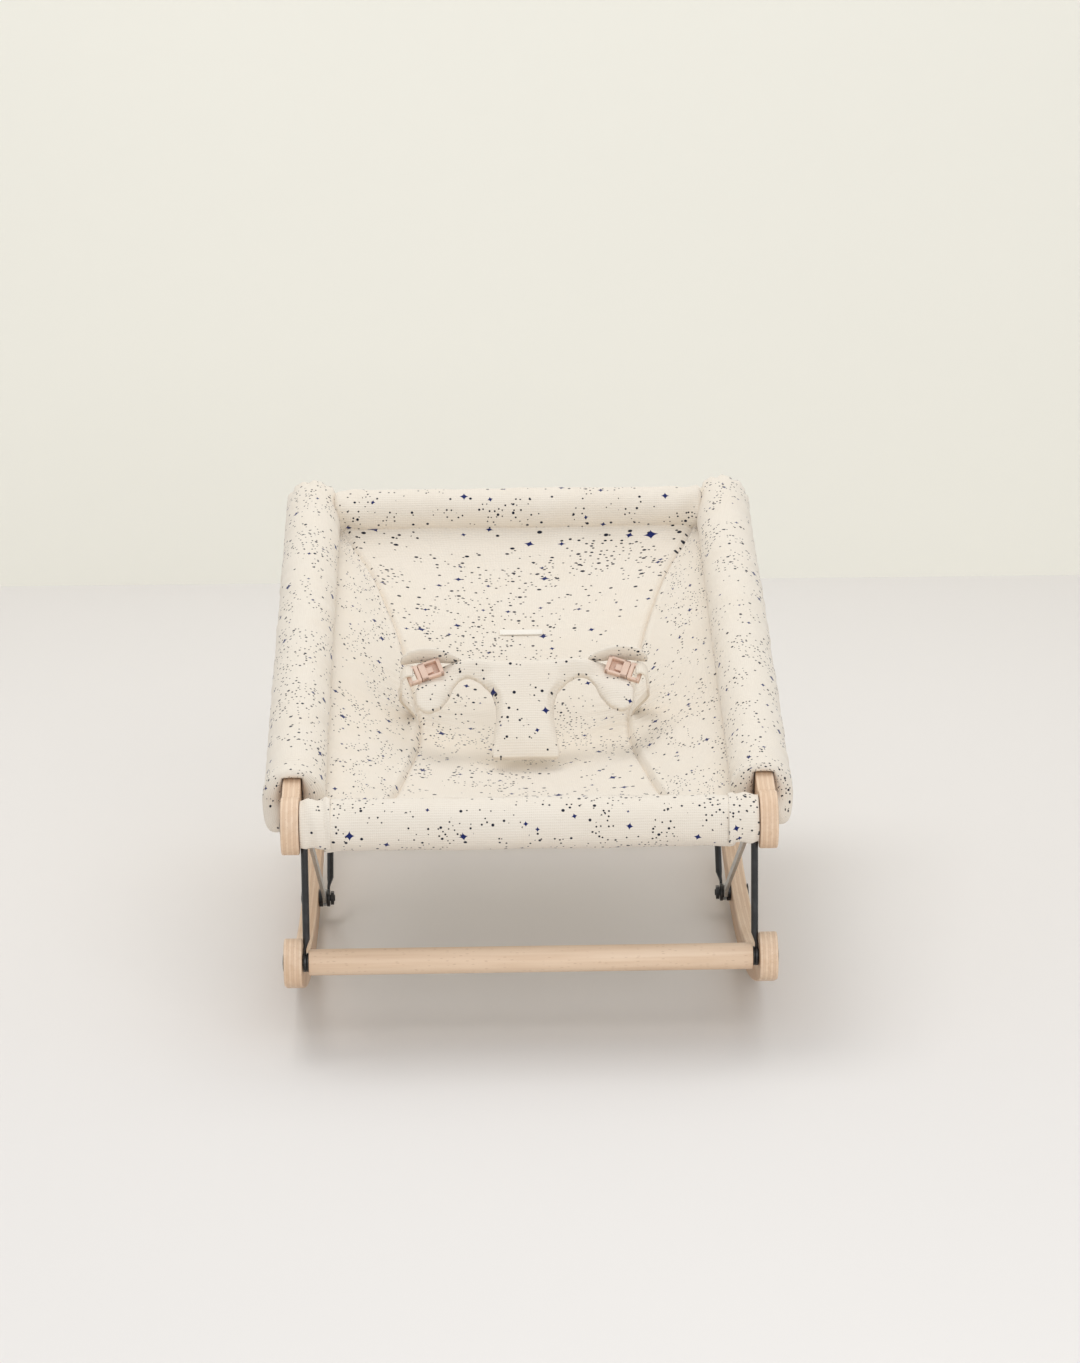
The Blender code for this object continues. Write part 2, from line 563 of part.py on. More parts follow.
def build_padding(seat):
    for word, side in SIDES:
        side_roll(word, side, seat)
        front_tab(word, side, seat)
    roll_half = INNER_X - 2 * GAP - TAB_WIDTH - GAP
    tube("front_roll", FRONT_ROLL_RADIUS, UPPER_DOWEL_RADIUS + GAP, roll_half, (0, 0, 0), seat)
    head_half = OUTER_X - PLY_THICKNESS / 2 - SIDE_ROLL_OFFSET - SIDE_ROLL_RADIUS - GAP
    head = (0, RAIL_SPAN, HEAD_ROLL_LIFT)
    tube("head_roll", HEAD_ROLL_RADIUS, HEAD_DOWEL_RADIUS + GAP, head_half, head, seat)
    build_sling(seat)


# ---- restraint ----------------------------------------------------------------------
def pad_outline():
    """Right half of the T-shaped pad, X and height, from its foot to the middle of its top."""
    lobe = 0.014
    points = [(CROTCH_HALF_WIDTH, 0.0), (CROTCH_HALF_WIDTH * 0.93, PAD_HEIGHT * 0.30)]
    hollow = PAD_HEIGHT * 0.36
    for i in range(6):
        angle = math.pi - i * math.pi / 2 / 5
        across = CROTCH_HALF_WIDTH + 0.020 * (1 + math.cos(angle))
        points.append((across, hollow + 0.022 * math.sin(angle)))
    points.append((WING_HALF_WIDTH - lobe * 1.6, PAD_HEIGHT * 0.50))
    for i in range(6):
        angle = -math.pi / 2 + i * math.pi / 5
        across = WING_HALF_WIDTH - lobe + lobe * math.cos(angle)
        points.append((across, PAD_HEIGHT * 0.58 + 0.020 * math.sin(angle)))
    points += [(WING_HALF_WIDTH - 0.010, PAD_HEIGHT * 0.93), (WING_HALF_WIDTH * 0.6, PAD_HEIGHT * 0.98)]
    return points


def restraint_pad(pad):
    half = pad_outline()
    outline = half + [(-x, w) for x, w in reversed(half)]
    bm = bmesh.new()
    low = -PAD_THICKNESS / 2
    face = bm.faces.new([bm.verts.new((x, w, low)) for x, w in outline])
    grown = bmesh.ops.extrude_face_region(bm, geom=[face])
    moved = [item for item in grown["geom"] if isinstance(item, bmesh.types.BMVert)]
    bmesh.ops.translate(bm, verts=moved, vec=(0, 0, PAD_THICKNESS))
    bmesh.ops.triangulate(bm, faces=[f for f in bm.faces if len(f.verts) > 4])
    place("restraint_pad", bm, "dotted_gauze", pad)


def buckle(word, side, pad):
    """Side-release buckle: a hollow socket and a plug whose tongue slides in it."""
    level = PAD_THICKNESS / 2 + 0.001
    top = level + SOCKET_THICKNESS
    low_w, high_w = BUCKLE_PLACE - BUCKLE_WIDTH / 2, BUCKLE_PLACE + BUCKLE_WIDTH / 2
    mouth = WING_HALF_WIDTH - 0.010
    x_low, x_high = span(side, mouth - SOCKET_LENGTH, mouth)
    body = box((x_low, low_w, level), (x_high, high_w, top))
    socket = place("buckle_socket_" + word, body, "pink_plastic", pad, smooth=False)
    depth = PLUG_REACH + 0.002
    x_low, x_high = span(side, mouth - depth, mouth + 0.002)
    hollow = box((x_low, low_w + BUCKLE_WALL, level + BUCKLE_WALL),
                 (x_high, high_w - BUCKLE_WALL, top - BUCKLE_WALL))
    boolean(socket, hollow)
    room = 2 * GAP
    x_low, x_high = span(side, mouth + room, mouth + room + PLUG_BODY)
    body = box((x_low, low_w, level), (x_high, high_w, top))
    plug = place("buckle_plug_" + word, body, "pink_plastic", pad, smooth=False)
    inset = BUCKLE_WALL + room
    x_low, x_high = span(side, mouth - PLUG_REACH, mouth + room + 0.001)
    tongue = box((x_low, low_w + inset, level + inset), (x_high, high_w - inset, top - inset))
    boolean(plug, tongue, "UNION")
    low, high = span(side, mouth + room + PLUG_BODY - 0.006, mouth + room + PLUG_BODY - 0.003)
    half = STRAP_WIDTH / 2 + room
    slot = box((low, BUCKLE_PLACE - half, level - CUT_OVER), (high, BUCKLE_PLACE + half, top + CUT_OVER))
    boolean(plug, slot)


def strap(name, points, seat):
    """Flat webbing through (x, along, height) points, its width along the rail."""
    bm = bmesh.new()
    sections = []
    half = STRAP_WIDTH / 2
    for i, point in enumerate(points):
        before, after = Vector(points[max(i - 1, 0)]), Vector(points[min(i + 1, len(points) - 1)])
        run = (after - before).normalized()
        across = Vector((0, 1, 0))
        thick = run.cross(across).normalized() * STRAP_THICKNESS / 2
        middle = Vector(point)
        sections.append([bm.verts.new(middle + across * a + thick * t)
                         for a, t in ((-half, -1), (half, -1), (half, 1), (-half, 1))])
    for first, second in zip(sections, sections[1:]):
        for i in range(4):
            j = (i + 1) % 4
            bm.faces.new((first[i], first[j], second[j], second[i]))
    bm.faces.new(sections[0])
    bm.faces.new(sections[-1])
    place(name, bm, "dotted_gauze", seat)


def build_restraint(seat):
    foot_height = sling_height(0, PAD_FOOT) + 0.0105
    pad = pivot("pad_foot", (0, PAD_FOOT, foot_height), PAD_SLOPE)
    pad.parent = seat
    restraint_pad(pad)
    for word, side in SIDES:
        buckle(word, side, pad)
        mouth = WING_HALF_WIDTH - 0.010 + 2 * GAP + PLUG_BODY
        level = PAD_THICKNESS / 2 + 0.001 + SOCKET_THICKNESS / 2
        end = Matrix.Rotation(PAD_SLOPE, 4, "X") @ Vector((0, BUCKLE_PLACE, level))
        along, top = PAD_FOOT + end.y, foot_height + end.z
        start_x = mouth + 0.0028
        land = sling_height(start_x + 0.010 + PLUG_TRAVEL, along) + 0.004
        points = [(side * start_x, along, top), (side * (start_x + 0.0045), along, top - 0.008)]
        points += [(side * (start_x + 0.007), along, (top + land) / 2)]
        points += [(side * (start_x + 0.009), along, land)]
        strap("hip_strap_" + word, points, seat)


def build_label(seat):
    along = RAIL_SPAN * 0.73
    width, height, thick = LABEL_SIZE
    rise = sling_height(0, along + 0.01) - sling_height(0, along - 0.01)
    turn = math.atan2(rise, 0.02)
    bm = box((-width / 2, -height / 2, 0), (width / 2, height / 2, thick))
    lift = sling_height(0, along) + 0.0008
    place("back_label", bm, "label_tape", seat, (0, along, lift), turn, smooth=False)


# ---- the whole seat -----------------------------------------------------------------
def build():
    for old in list(bpy.data.objects):
        bpy.data.objects.remove(old, do_unlink=True)
    build_base()
    build_front_legs()
    build_rear_legs()
    build_stays()
    seat = pivot("seat_pivot", FRONT_TOP, RAIL_TILT)
    build_seat_frame(seat)
    build_padding(seat)
    build_restraint(seat)
    build_label(seat)


build()
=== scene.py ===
"""Looks of the folding bouncer seat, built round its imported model."""

import json
import math

import bmesh
import bpy
from mathutils import Matrix, Vector, noise


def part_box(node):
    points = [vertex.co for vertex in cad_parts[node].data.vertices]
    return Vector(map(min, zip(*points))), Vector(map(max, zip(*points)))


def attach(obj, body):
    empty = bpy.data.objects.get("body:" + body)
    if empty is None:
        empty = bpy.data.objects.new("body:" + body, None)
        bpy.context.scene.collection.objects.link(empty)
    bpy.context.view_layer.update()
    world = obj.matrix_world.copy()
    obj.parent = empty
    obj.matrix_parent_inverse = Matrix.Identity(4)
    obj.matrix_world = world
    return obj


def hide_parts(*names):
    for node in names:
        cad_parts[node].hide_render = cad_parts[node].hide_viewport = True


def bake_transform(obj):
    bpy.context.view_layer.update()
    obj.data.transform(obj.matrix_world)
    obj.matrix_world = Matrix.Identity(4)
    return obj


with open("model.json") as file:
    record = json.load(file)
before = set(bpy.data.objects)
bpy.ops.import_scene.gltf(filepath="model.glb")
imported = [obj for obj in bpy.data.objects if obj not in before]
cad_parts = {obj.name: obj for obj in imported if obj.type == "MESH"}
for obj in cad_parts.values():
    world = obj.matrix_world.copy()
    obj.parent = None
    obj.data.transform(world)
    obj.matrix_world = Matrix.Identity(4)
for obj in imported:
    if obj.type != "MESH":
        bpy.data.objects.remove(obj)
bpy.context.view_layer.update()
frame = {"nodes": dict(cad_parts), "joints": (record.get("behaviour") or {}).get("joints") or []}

# ---- places read from the frame ------------------------------------------------------
JOINTS = {joint["name"]: joint for joint in frame["joints"]}
LOWER_PIVOT = Vector(JOINTS["fold"]["pos_m"])
UPPER_PIVOT = Vector(JOINTS["seat_tilt"]["pos_m"])
FOOT_PIVOT = Vector(JOINTS["rear_leg_swing"]["pos_m"])


def middle(node):
    low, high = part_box(node)
    return (low + high) / 2


def size(node):
    low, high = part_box(node)
    return high - low


def reach_of(node):
    """Distances of a node's inner and outer side from the middle plane."""
    low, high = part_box(node)
    return min(abs(low.x), abs(high.x)), max(abs(low.x), abs(high.x))


def on_middle_plane(point):
    return Vector((0, point.y, point.z))


HEAD_PIVOT = on_middle_plane(middle("head_dowel"))
REAR_DOWEL = on_middle_plane(middle("lower_rear_dowel"))
RAIL_SPAN = (HEAD_PIVOT - UPPER_PIVOT).length
RAIL_TILT = math.atan2(HEAD_PIVOT.z - UPPER_PIVOT.z, HEAD_PIVOT.y - UPPER_PIVOT.y)
SEAT = Matrix.Translation(UPPER_PIVOT) @ Matrix.Rotation(RAIL_TILT, 4, "X")
INNER_X, OUTER_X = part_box("rail_right")[0].x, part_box("rail_right")[1].x
PLY_MIDDLE = (INNER_X + OUTER_X) / 2

# ---- sizes of the looks --------------------------------------------------------------
EDGE_ROUND = 0.0013
PLY_LAYERS = 7
RUNNER_HEIGHT = 0.026
RUNNER_END_RADIUS = 0.020
RAIL_HALF_HEIGHT = 0.017
RAIL_END_RADIUS = 0.024
SHOULDER_FILLET = 0.012
ROD_RADIUS = 0.003
EYE_RADIUS = 0.008
EYE_HALF = 0.0014                        # half the thickness of a rod's flattened end
ROD_TO_EYE = (0.0019, 0.0034)            # half sizes where a rod turns flat
BOLT_HEAD_RADIUS = 0.0078
BOLT_SHANK_RADIUS = 0.003
SOCKET_RADIUS = 0.0026
SIDE_ROLL_RADIUS = size("side_roll_right").x / 2
SIDE_ROLL_X = middle("side_roll_right").x
SIDE_ROLL_START = 0.050
SIDE_ROLL_END = RAIL_SPAN + 0.034
FRONT_ROLL_RADIUS = size("front_roll").y / 2
HEAD_ROLL_RADIUS = size("head_roll").y / 2
HEAD_ROLL_LIFT = 0.003
FRONT_ROLL_HALF = 0.1734
HEAD_ROLL_HALF = 0.1770
ROLL_CAP = 0.006                         # rounding of a cross roll's ends
SLEEVE_CAP = 0.016                       # rounding of a side roll's head end
LOOP_INNER_X = 0.1640
SLING_EDGE = SIDE_ROLL_X - SIDE_ROLL_RADIUS + 0.0022
SLING_CUT_LENGTH = 0.640
SLING_TUCK = 0.018                       # cloth on each side that is sewn into the side roll
PAD_FOOT = 0.187
PAD_SLOPE = math.radians(38.2)
PAD_HALF_THICKNESS = 0.0045
BUCKLE_X, BUCKLE_W = 0.0915, 0.0830      # mouth of the socket on the pad
BUCKLE_LEAN = math.radians(-20)
BUCKLE_HALF = 0.0080
BUCKLE_TOP = 0.0080
STRAP_HALF = 0.0075
LABEL_HALF = Vector((0.020, 0.0035, 0.0006))

SIDES = (("left", -1), ("right", 1))


# ---- materials -----------------------------------------------------------------------
class Graph:
    """Short way to add and link a material's nodes."""

    def __init__(self, name):
        self.material = bpy.data.materials.new(name)
        self.material.use_nodes = True
        self.tree = self.material.node_tree
        self.shader = self.tree.nodes["Principled BSDF"]

    def node(self, kind, inputs=None, **settings):
        made = self.tree.nodes.new(kind)
        for key, value in settings.items():
            setattr(made, key, value)
        for key, value in (inputs or {}).items():
            self.feed(made.inputs[key], value)
        return made

    def feed(self, socket, value):
        if isinstance(value, bpy.types.NodeSocket):
            self.tree.links.new(value, socket)
        else:
            socket.default_value = value

    def math(self, operation, first, second=0.0):
        return self.node("ShaderNodeMath", {0: first, 1: second}, operation=operation).outputs[0]

    def noise(self, place, scale, detail=2.0, flat=False, **more):
        inputs = {"Vector": place, "Scale": scale, "Detail": detail, **more}
        dimensions = "2D" if flat else "3D"
        return self.node("ShaderNodeTexNoise", inputs, noise_dimensions=dimensions).outputs[0]

    def object_place(self):
        return self.node("ShaderNodeTexCoord").outputs["Object"]

    def stretched(self, place, across, grain, along):
        """Coordinates scaled by one number, and by another along the grain's axis."""
        scale = [across] * 3
        scale[grain] = along
        return self.node("ShaderNodeMapping", {"Vector": place, "Scale": scale}).outputs[0]

    def shifted(self, place, shift):
        return self.node("ShaderNodeVectorMath", {0: place, 1: shift}, operation="ADD").outputs[0]

    def ramp(self, value, low, high, start=0.0, end=1.0):
        made = self.node("ShaderNodeMapRange", {"Value": value, "From Min": low, "From Max": high,
                                                "To Min": start, "To Max": end})
        return made.outputs[0]

    def mix(self, factor, first, second):
        made = self.node("ShaderNodeMix", data_type="RGBA")
        self.feed(made.inputs[0], factor)
        self.feed(made.inputs[6], first)
        self.feed(made.inputs[7], second)
        return made.outputs[2]

    def bump(self, height, strength, distance, under=None):
        made = self.node("ShaderNodeBump", {"Height": height, "Strength": strength, "Distance": distance})
        if under is not None:
            self.feed(made.inputs["Normal"], under)
        return made.outputs[0]

    def surface(self, **values):
        for key, value in values.items():
            self.feed(self.shader.inputs[key.replace("_", " ")], value)
        return self.material


def cell_spots(graph, place, cell, radius_low, radius_high, density):
    """Round printed dots, one at most in each cell, where a random number is under the density."""
    cells = graph.node("ShaderNodeTexVoronoi", {"Vector": place, "Scale": 1 / cell, "Randomness": 1.0},
                       voronoi_dimensions="2D")
    chance = graph.node("ShaderNodeSeparateColor", {0: cells.outputs["Color"]})
    radius = graph.ramp(chance.outputs[0], 0, 1, radius_low / cell, radius_high / cell)
    inside = graph.math("SUBTRACT", radius, cells.outputs["Distance"])
    spot = graph.ramp(inside, -0.012, 0.018)
    return graph.math("MULTIPLY", spot, graph.math("LESS_THAN", chance.outputs[1], density))


STAR_PINCH = 0.62            # below 1, so that the sides between a star's points curve inwards


def cell_stars(graph, place, cell, reach, density):
    """Four-pointed printed stars, some filled and some drawn as an outline."""
    cells = graph.node("ShaderNodeTexVoronoi", {"Vector": place, "Scale": 1 / cell, "Randomness": 0.85},
                       voronoi_dimensions="2D")
    chance = graph.node("ShaderNodeSeparateColor", {0: cells.outputs["Color"]})
    away = graph.node("ShaderNodeVectorMath", {0: place, 1: cells.outputs["Position"]},
                      operation="SUBTRACT").outputs[0]
    offset = graph.node("ShaderNodeVectorMath", {0: away, "Scale": 1 / cell}, operation="SCALE").outputs[0]
    lean = graph.ramp(chance.outputs[2], 0, 1, -0.3, 0.3)
    spin = graph.node("ShaderNodeVectorRotate", {"Vector": offset, "Angle": lean}, rotation_type="Z_AXIS")
    axes = graph.node("ShaderNodeSeparateXYZ", {0: spin.outputs[0]})
    arms = [graph.math("POWER", graph.math("ABSOLUTE", axes.outputs[i]), STAR_PINCH) for i in (0, 1)]
    spread = graph.math("POWER", graph.math("ADD", *arms), 1 / STAR_PINCH)
    span = graph.ramp(chance.outputs[0], 0, 1, 0.62 * reach / cell, 1.15 * reach / cell)
    share = graph.math("DIVIDE", spread, span)
    filled = graph.ramp(share, 1.06, 0.94)
    hollow = graph.math("MULTIPLY", graph.ramp(share, 0.42, 0.55),
                        graph.math("GREATER_THAN", chance.outputs[0], 0.62))
    star = graph.math("MULTIPLY", filled, graph.math("SUBTRACT", 1.0, hollow))
    return graph.math("MULTIPLY", star, graph.math("LESS_THAN", chance.outputs[1], density))


def print_on(graph, place, base):
    """Swarms of small and large dots and two sizes of star over a cloth colour."""
    swarm = graph.noise(place, 19.0, 1.5, Distortion=1.1, flat=True)
    density = graph.ramp(swarm, 0.47, 0.60, 0.02, 0.70)
    small = cell_spots(graph, place, 0.0050, 0.00055, 0.00098, density)
    large = cell_spots(graph, place, 0.0135, 0.00095, 0.00155, graph.ramp(swarm, 0.38, 0.6, 0.22, 0.70))
    big_stars = cell_stars(graph, place, 0.050, 0.0050, 0.85)
    little_stars = cell_stars(graph, graph.shifted(place, (0.031, 0.017, 0)), 0.037, 0.0030, 0.5)
    stars = graph.math("MAXIMUM", big_stars, little_stars)
    for spots, ink in ((small, (0.012, 0.013, 0.020, 1)), (large, (0.008, 0.010, 0.024, 1)),
                       (stars, (0.008, 0.016, 0.110, 1))):
        base = graph.mix(spots, base, ink)
    return base


RIB_PITCH, THREAD_PITCH = 0.0023, 0.0017


def printed_gauze(name, cream=(0.80, 0.735, 0.645), printed=True):
    """Cream ribbed cotton gauze with swarms of small dark dots and blue stars."""
    graph = Graph(name)
    place = graph.node("ShaderNodeUVMap", uv_map="cloth").outputs[0]
    axes = graph.node("ShaderNodeSeparateXYZ", {0: place})
    ribs = graph.math("SINE", graph.math("MULTIPLY", axes.outputs[1], 2 * math.pi / RIB_PITCH))
    threads = graph.math("SINE", graph.math("MULTIPLY", axes.outputs[0], 2 * math.pi / THREAD_PITCH))
    uneven = graph.noise(place, 170.0, 3.0, flat=True)
    broad = graph.noise(place, 26.0, flat=True)
    weave = graph.math("ADD", graph.math("MULTIPLY", ribs, 0.5), graph.math("MULTIPLY", threads, 0.22))
    weave = graph.math("MULTIPLY", weave, graph.ramp(uneven, 0.3, 0.7, 0.45, 1.0))
    # The weave's bump height also sets the colour: painted shade darkens the rib grooves and painted
    # highlight lightens the rib crests, over the cloth's own cream.
    light = tuple(min(1.0, c * 1.03) for c in cream)
    dark = tuple(c * k for c, k in zip(cream, (0.945, 0.925, 0.90)))
    warm = tuple(c * k for c, k in zip(cream, (0.97, 0.94, 0.90)))
    base = graph.mix(graph.ramp(weave, -0.6, 0.6), (*dark, 1), (*light, 1))
    base = graph.mix(graph.math("MULTIPLY", graph.ramp(broad, 0.42, 0.75), 0.35), base, (*warm, 1))
    if printed:
        base = print_on(graph, place, base)
    normal = graph.bump(broad, 0.35, 0.0022, graph.bump(weave, 0.55, 0.00035))
    return graph.surface(Base_Color=base, Roughness=0.92, Normal=normal, Sheen_Weight=0.25,
                         Sheen_Roughness=0.5, Specular_IOR_Level=0.2)


def ply_layers(graph, place, bands, base, height):
    """Plywood's darker cross layers and glue lines, counted along X from the inner face."""
    across = graph.node("ShaderNodeSeparateXYZ", {0: place}).outputs[0]
    depth = graph.math("SUBTRACT", graph.math("ABSOLUTE", across), INNER_X)
    count = graph.math("MULTIPLY", depth, PLY_LAYERS / (OUTER_X - INNER_X))
    wobble = graph.math("ADD", count, graph.ramp(bands, 0, 1, -0.16, 0.16))
    core = graph.math("GREATER_THAN", graph.math("FLOORED_MODULO", wobble, 2.0), 1.0)
    glue = graph.math("ABSOLUTE", graph.math("SUBTRACT", graph.math("FRACT", wobble), 0.5))
    line = graph.ramp(glue, 0.42, 0.49)
    base = graph.mix(graph.math("MULTIPLY", core, 0.38), base, (0.600, 0.390, 0.240, 1))
    base = graph.mix(graph.math("MULTIPLY", line, 0.42), base, (0.400, 0.220, 0.120, 1))
    return base, graph.math("SUBTRACT", height, graph.math("MULTIPLY", line, 0.5))


def beech(name, grain, ply=False):
    """Clear lacquered beech. The grain runs along one axis; plywood shows its layers along X."""
    graph = Graph(name)
    place = graph.object_place()
    lines = graph.noise(graph.stretched(place, 240.0, grain, 9.0), 1.0, 5.0, Roughness=0.6)
    bands = graph.noise(graph.stretched(place, 34.0, grain, 3.0), 1.0)
    flecks = graph.node("ShaderNodeTexVoronoi",
                        {"Vector": graph.stretched(place, 900.0, grain, 190.0), "Scale": 1.0})
    chance = graph.node("ShaderNodeSeparateColor", {0: flecks.outputs["Color"]}).outputs[0]
    fleck = graph.math("MULTIPLY", graph.ramp(flecks.outputs["Distance"], 0.36, 0.18),
                       graph.math("GREATER_THAN", chance, 0.80))
    base = graph.mix(graph.ramp(bands, 0.3, 0.7), (0.735, 0.535, 0.375, 1), (0.825, 0.640, 0.475, 1))
    darker = graph.math("MULTIPLY", graph.ramp(lines, 0.42, 0.72), 0.55)
    base = graph.mix(darker, base, (0.640, 0.430, 0.275, 1))
    base = graph.mix(graph.math("MULTIPLY", fleck, 0.40), base, (0.420, 0.235, 0.130, 1))
    height = graph.math("SUBTRACT", lines, graph.math("MULTIPLY", fleck, 0.4))
    if ply:
        base, height = ply_layers(graph, place, bands, base, height)
    return graph.surface(Base_Color=base, Roughness=graph.ramp(lines, 0.3, 0.7, 0.42, 0.56),
                         Normal=graph.bump(height, 0.25, 0.0002), Specular_IOR_Level=0.4)


def coated_steel(name):
    graph = Graph(name)
    place = graph.object_place()
    grains = graph.noise(place, 2600.0)
    wear = graph.noise(place, 120.0, 4.0)
    base = graph.mix(graph.ramp(wear, 0.45, 0.8), (0.010, 0.010, 0.011, 1), (0.028, 0.028, 0.030, 1))
    return graph.surface(Base_Color=base, Roughness=graph.ramp(wear, 0.3, 0.7, 0.28, 0.42),
                         Normal=graph.bump(grains, 0.25, 0.0001), Metallic=0.0, Specular_IOR_Level=0.55)


def zinc_plate(name):
    graph = Graph(name)
    cloud = graph.noise(graph.object_place(), 210.0, 5.0)
    base = graph.mix(graph.ramp(cloud, 0.3, 0.7), (0.40, 0.40, 0.385, 1), (0.62, 0.61, 0.59, 1))
    return graph.surface(Base_Color=base, Metallic=1.0, Roughness=graph.ramp(cloud, 0.3, 0.7, 0.26, 0.46),
                         Normal=graph.bump(cloud, 0.12, 0.0002))


def moulded_plastic(name):
    graph = Graph(name)
    place = graph.object_place()
    fine = graph.noise(place, 1900.0)
    cloud = graph.noise(place, 60.0)
    base = graph.mix(graph.ramp(cloud, 0.3, 0.7), (0.735, 0.520, 0.410, 1), (0.790, 0.585, 0.470, 1))
    return graph.surface(Base_Color=base, Roughness=graph.ramp(cloud, 0.3, 0.7, 0.36, 0.48),
                         Normal=graph.bump(fine, 0.2, 0.0001))


GAUZE = printed_gauze("printed_gauze")
PLAIN_GAUZE = printed_gauze("plain_gauze", (0.80, 0.725, 0.625), printed=False)
PLYWOOD = beech("beech_plywood", grain=1, ply=True)
DOWEL_WOOD = beech("beech_dowel", grain=0)
BLACK_STEEL = coated_steel("black_steel")
ZINC = zinc_plate("zinc_plate")
PLASTIC = moulded_plastic("buckle_plastic")


# ---- making and shaping --------------------------------------------------------------
def piece(name, bm, material, body, nodes=(), sharp=35):
    """Turn a bmesh into a finished piece that rides on a body and stands for some nodes."""
    bmesh.ops.remove_doubles(bm, verts=bm.verts, dist=1e-6)
    bmesh.ops.recalc_face_normals(bm, faces=bm.faces)
    mesh = bpy.data.meshes.new(name)
    bm.to_mesh(mesh)
    bm.free()
    mesh.shade_smooth()
    mesh.set_sharp_from_angle(angle=math.radians(sharp))
    made = bpy.data.objects.new(name, mesh)
    bpy.context.collection.objects.link(made)
    mesh.materials.append(material)
    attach(made, body)
    if nodes:
        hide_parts(*nodes)
    return made


def join(bm, *others):
    for other in others:
        mesh = bpy.data.meshes.new("part")
        other.to_mesh(mesh)
        other.free()
        bm.from_mesh(mesh)
        bpy.data.meshes.remove(mesh)
    return bm


def verts_of(result, key="geom"):
    return [item for item in result[key] if isinstance(item, bmesh.types.BMVert)]


def trace(start, moves):
    """Flat outline in the YZ plane: arcs about centres, or straight runs to points, filled."""
    bm = bmesh.new()
    tip = bm.verts.new(start)
    for kind, place, angle, steps in moves:
        if kind == "arc":
            grown = bmesh.ops.spin(bm, geom=[tip], cent=place, axis=(1, 0, 0), angle=angle, steps=steps)
            tip = verts_of(grown, "geom_last")[0]
        else:
            before = tip
            tip = bm.verts.new(place)
            bm.edges.new((before, tip))
    bmesh.ops.remove_doubles(bm, verts=bm.verts, dist=1e-5)
    bmesh.ops.contextual_create(bm, geom=bm.edges[:])
    return bm


def thicken(bm, x_low, x_high):
    """Extrude a flat outline along X and round its rims."""
    bmesh.ops.translate(bm, verts=bm.verts, vec=(x_low - bm.verts[:][0].co.x, 0, 0))
    grown = bmesh.ops.extrude_face_region(bm, geom=bm.faces[:])
    bmesh.ops.translate(bm, verts=verts_of(grown), vec=(x_high - x_low, 0, 0))
    bmesh.ops.recalc_face_normals(bm, faces=bm.faces)
    rims = [edge for edge in bm.edges if edge.verts[0].co.x == edge.verts[1].co.x]
    bmesh.ops.bevel(bm, geom=rims, offset=EDGE_ROUND, offset_type="OFFSET", segments=3, profile=0.5,
                    affect="EDGES", material=-1, clamp_overlap=True)
    return bm


def loft(rings, segments):
    """Closed round bar through rings, each a matrix that places and scales a circle of radius 1."""
    bm = bmesh.new()
    made = bmesh.ops.create_circle(bm, segments=segments, radius=1.0, matrix=rings[0])
    edges = list({edge for vert in made["verts"] for edge in vert.link_edges})
    bmesh.ops.contextual_create(bm, geom=edges)
    for before, after in zip(rings, rings[1:]):
        grown = bmesh.ops.extrude_edge_only(bm, edges=edges)
        verts = verts_of(grown)
        edges = [item for item in grown["geom"] if isinstance(item, bmesh.types.BMEdge)
                 and item.verts[0] in verts and item.verts[1] in verts]
        bmesh.ops.transform(bm, matrix=after @ before.inverted(), verts=verts)
    bmesh.ops.contextual_create(bm, geom=edges)
    return bm


def ring(place, wide, tall, facing="Z", turn=0.0):
    """Matrix of one ring: centred on a place, with two half widths, its normal along an axis."""
    matrix = Matrix.Translation(place)
    if facing == "X":
        matrix = matrix @ Matrix.Rotation(math.pi / 2, 4, "Y")
    return matrix @ Matrix.Rotation(turn, 4, "Z") @ Matrix.Diagonal((wide, tall, 1, 1))


def turned_bar(radius, x_low, x_high, rounding, segments):
    """Round bar along X about the X axis, with softened ends."""
    places = [(x_low, radius - rounding), (x_low + rounding * 0.3, radius - rounding * 0.3),
              (x_low + rounding, radius), (x_high - rounding, radius),
              (x_high - rounding * 0.3, radius - rounding * 0.3), (x_high, radius - rounding)]
    return loft([ring((x, 0, 0), r, r, "X") for x, r in places], segments)


def side_span(side, near, far):
    return tuple(sorted((side * near, side * far)))


def soft_step(value, low, high):
    share = max(0.0, min(1.0, (value - low) / (high - low)))
    return share * share * (3 - 2 * share)


def curve_height(knots, at):
    """Value of a smooth curve through (place, value) knots."""
    inner = sum(1 for knot in knots[1:-1] if knot[0] <= at)
    i = max(0, min(len(knots) - 2, inner))
    p0, p1 = knots[max(i - 1, 0)], knots[i]
    p2, p3 = knots[i + 1], knots[min(i + 2, len(knots) - 1)]
    width = p2[0] - p1[0]
    share = (at - p1[0]) / width
    slope1 = (p2[1] - p0[1]) / (p2[0] - p0[0])
    slope2 = (p3[1] - p1[1]) / (p3[0] - p1[0])
    rise = share * share * (3 - 2 * share)
    return (p1[1] + (p2[1] - p1[1]) * rise + slope1 * width * share * (1 - share) ** 2
            - slope2 * width * share * share * (1 - share))


def lay_flat(made, back, shift, round_over=0.0):
    """Give a cloth piece its own UV map in metres from its X and Y, and some of its Z, after a matrix."""
    mesh = made.data
    layer = mesh.uv_layers.new(name="cloth")
    for face in mesh.polygons:
        for corner in face.loop_indices:
            place = back @ mesh.vertices[mesh.loops[corner].vertex_index].co
            layer.data[corner].uv = (place.x + shift[0], place.y + round_over * place.z + shift[1])


INFLATE_FRAMES = 20


